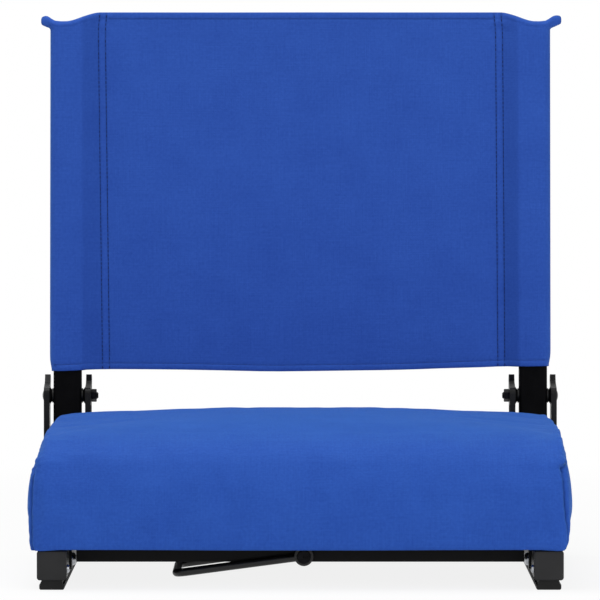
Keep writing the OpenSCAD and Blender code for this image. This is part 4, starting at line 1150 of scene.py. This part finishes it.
def room():
    """White room, soft lamps above, in front and to the side, and a pale floor that keeps the chair's shadow."""
    world = bpy.data.worlds.new("room")
    bpy.context.scene.world = world
    world.use_nodes = True
    tree = world.node_tree
    back = tree.nodes["Background"]
    back.inputs["Color"].default_value = (1, 1, 1, 1)
    strength = tree.nodes.new("ShaderNodeMapRange")
    strength.inputs["To Min"].default_value = 0.5
    strength.inputs["To Max"].default_value = 1
    tree.links.new(seen_rays(tree), strength.inputs["Value"])
    tree.links.new(strength.outputs[0], back.inputs["Strength"])
    for row in LAMPS:
        lamp(*row)
    floor = begin(bpy.ops.mesh.primitive_circle_add, "floor", vertices=96, radius=14, fill_type="NGON")
    finish = Finish("floor_white", Roughness=0.9, Specular_IOR_Level=0.1)
    finish.shader.inputs["Base Color"].default_value = (0.86, 0.86, 0.86, 1)
    distance = finish.node("VectorMath", {"operation": "LENGTH"}, {0: finish.place()}, "Value")
    far = 0.86 + distance.over(0.6, 1.5) * 0.14
    glow = finish.node("Emission", {}, {"Color": (1, 1, 1, 1), "Strength": 1})
    seen = Signal(finish, seen_rays(finish.tree))
    blended = finish.node("MixShader", {}, {0: far * seen, 1: Signal(finish, finish.shader.outputs[0]), 2: glow})
    finish.tree.links.new(blended.socket, finish.tree.nodes["Material Output"].inputs["Surface"])
    dress(floor, finish.material)


bpy.context.scene.view_settings.view_transform = "Standard"
camera()
room()

seat_canvas = canvas("seat_canvas", paint(31, 70, 159), paint(46, 91, 183), YARN_PITCH)
# The back's canvas is the seat's canvas with its colours shifted to stand in for the light on the back: painted
# shade
back_canvas_painted_shade = canvas("back_canvas_painted_shade", paint(33, 69, 155), paint(48, 89, 179), YARN_PITCH)
frame_paint = powder_coat("frame_powder_coat", paint(8, 8, 9), 0.42, 0.1)
# The uprights' coat is the frame's powder coat, darker and less glossy: the darker colour is painted shade
shade_painted_upright_coat = powder_coat("upright_powder_coat_painted_shade", paint(4, 4, 5), 0.5, 0.02)
hinge_paint = powder_coat("hinge_powder_coat", paint(9, 9, 10), 0.36, 0.14)
hook_paint = powder_coat("hook_powder_coat", paint(12, 12, 13), 0.33, 0.35)
black_oxide = plated("black_oxide", paint(26, 26, 28), 0.32, 0.2)
bright_zinc = plated("bright_zinc", paint(196, 199, 204), 0.26, 0.16)
sole_rubber = moulded("sole_rubber", paint(14, 14, 14), 0.7, 1500, 0.1 * MM)
plug_plastic = moulded("plug_plastic", paint(28, 28, 29), 0.5, 1900, 0.06 * MM)
bush_nylon = moulded("bush_nylon", paint(14, 14, 14), 0.42, 2400, 0.03 * MM)
navy_thread = thread("navy_thread", paint(12, 30, 92))
blue_thread = thread("blue_thread", paint(44, 82, 170))

FINISHES = [
    (frame_paint, ["side_rail_left", "side_rail_right", "front_crossbar", "rear_crossbar"]),
    (shade_painted_upright_coat, ["upright_left", "upright_right"]),
    (hinge_paint, [name for name in nodes if name.startswith("hinge_plate")]),
    (hook_paint, ["bleacher_hook", "strap_plates"]),
    (black_oxide, ["pivot_bolts", "pivot_nuts", "rail_bolts", "rail_nuts", "spacer_washers", "stop_bolts"]),
    (black_oxide, ["stop_nuts", "stop_sleeves", "hook_washers", "hook_bolt", "hook_nut"]),
    (bright_zinc, ["plug_screws", "runner_screws", "crossbar_bolts", "weld_nuts", "seat_bolts", "seat_washers"]),
    (bright_zinc, ["tee_nuts", "strap_bolts", "strap_nuts"]),
    (sole_rubber, ["runner_left", "runner_right"]),
    (plug_plastic, ["rail_end_plugs", "upright_plugs"]),
    (bush_nylon, ["pivot_bushes"]),
    (plywood("birch_plywood"), ["seat_board"]),
]
for material, names in FINISHES:
    for name in names:
        dress(nodes[name], material)

cushion = seat_cushion()
dress(cushion, seat_canvas)
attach(cushion, "base")
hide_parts("seat_cover", "seat_foam")

sleeve = back_sleeve()
dress(sleeve, back_canvas_painted_shade)
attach(sleeve, "backrest")
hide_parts("back_cover")

stitch = one_stitch()
back_stitches = pocket_sewing(stitch, navy_thread)
hem_stitches = hem_sewing(stitch, blue_thread)
bpy.data.objects.remove(stitch)
for row in (back_stitches, hem_stitches):
    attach(row, "backrest")

dust = dust_cloth(felt("dust_felt"))
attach(dust, "base")
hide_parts("dust_cover")

staples = cover_staples(bright_zinc)
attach(staples, "base")

handle = carry_webbing(webbing("handle_webbing"))
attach(handle, "base")
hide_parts("carry_strap")
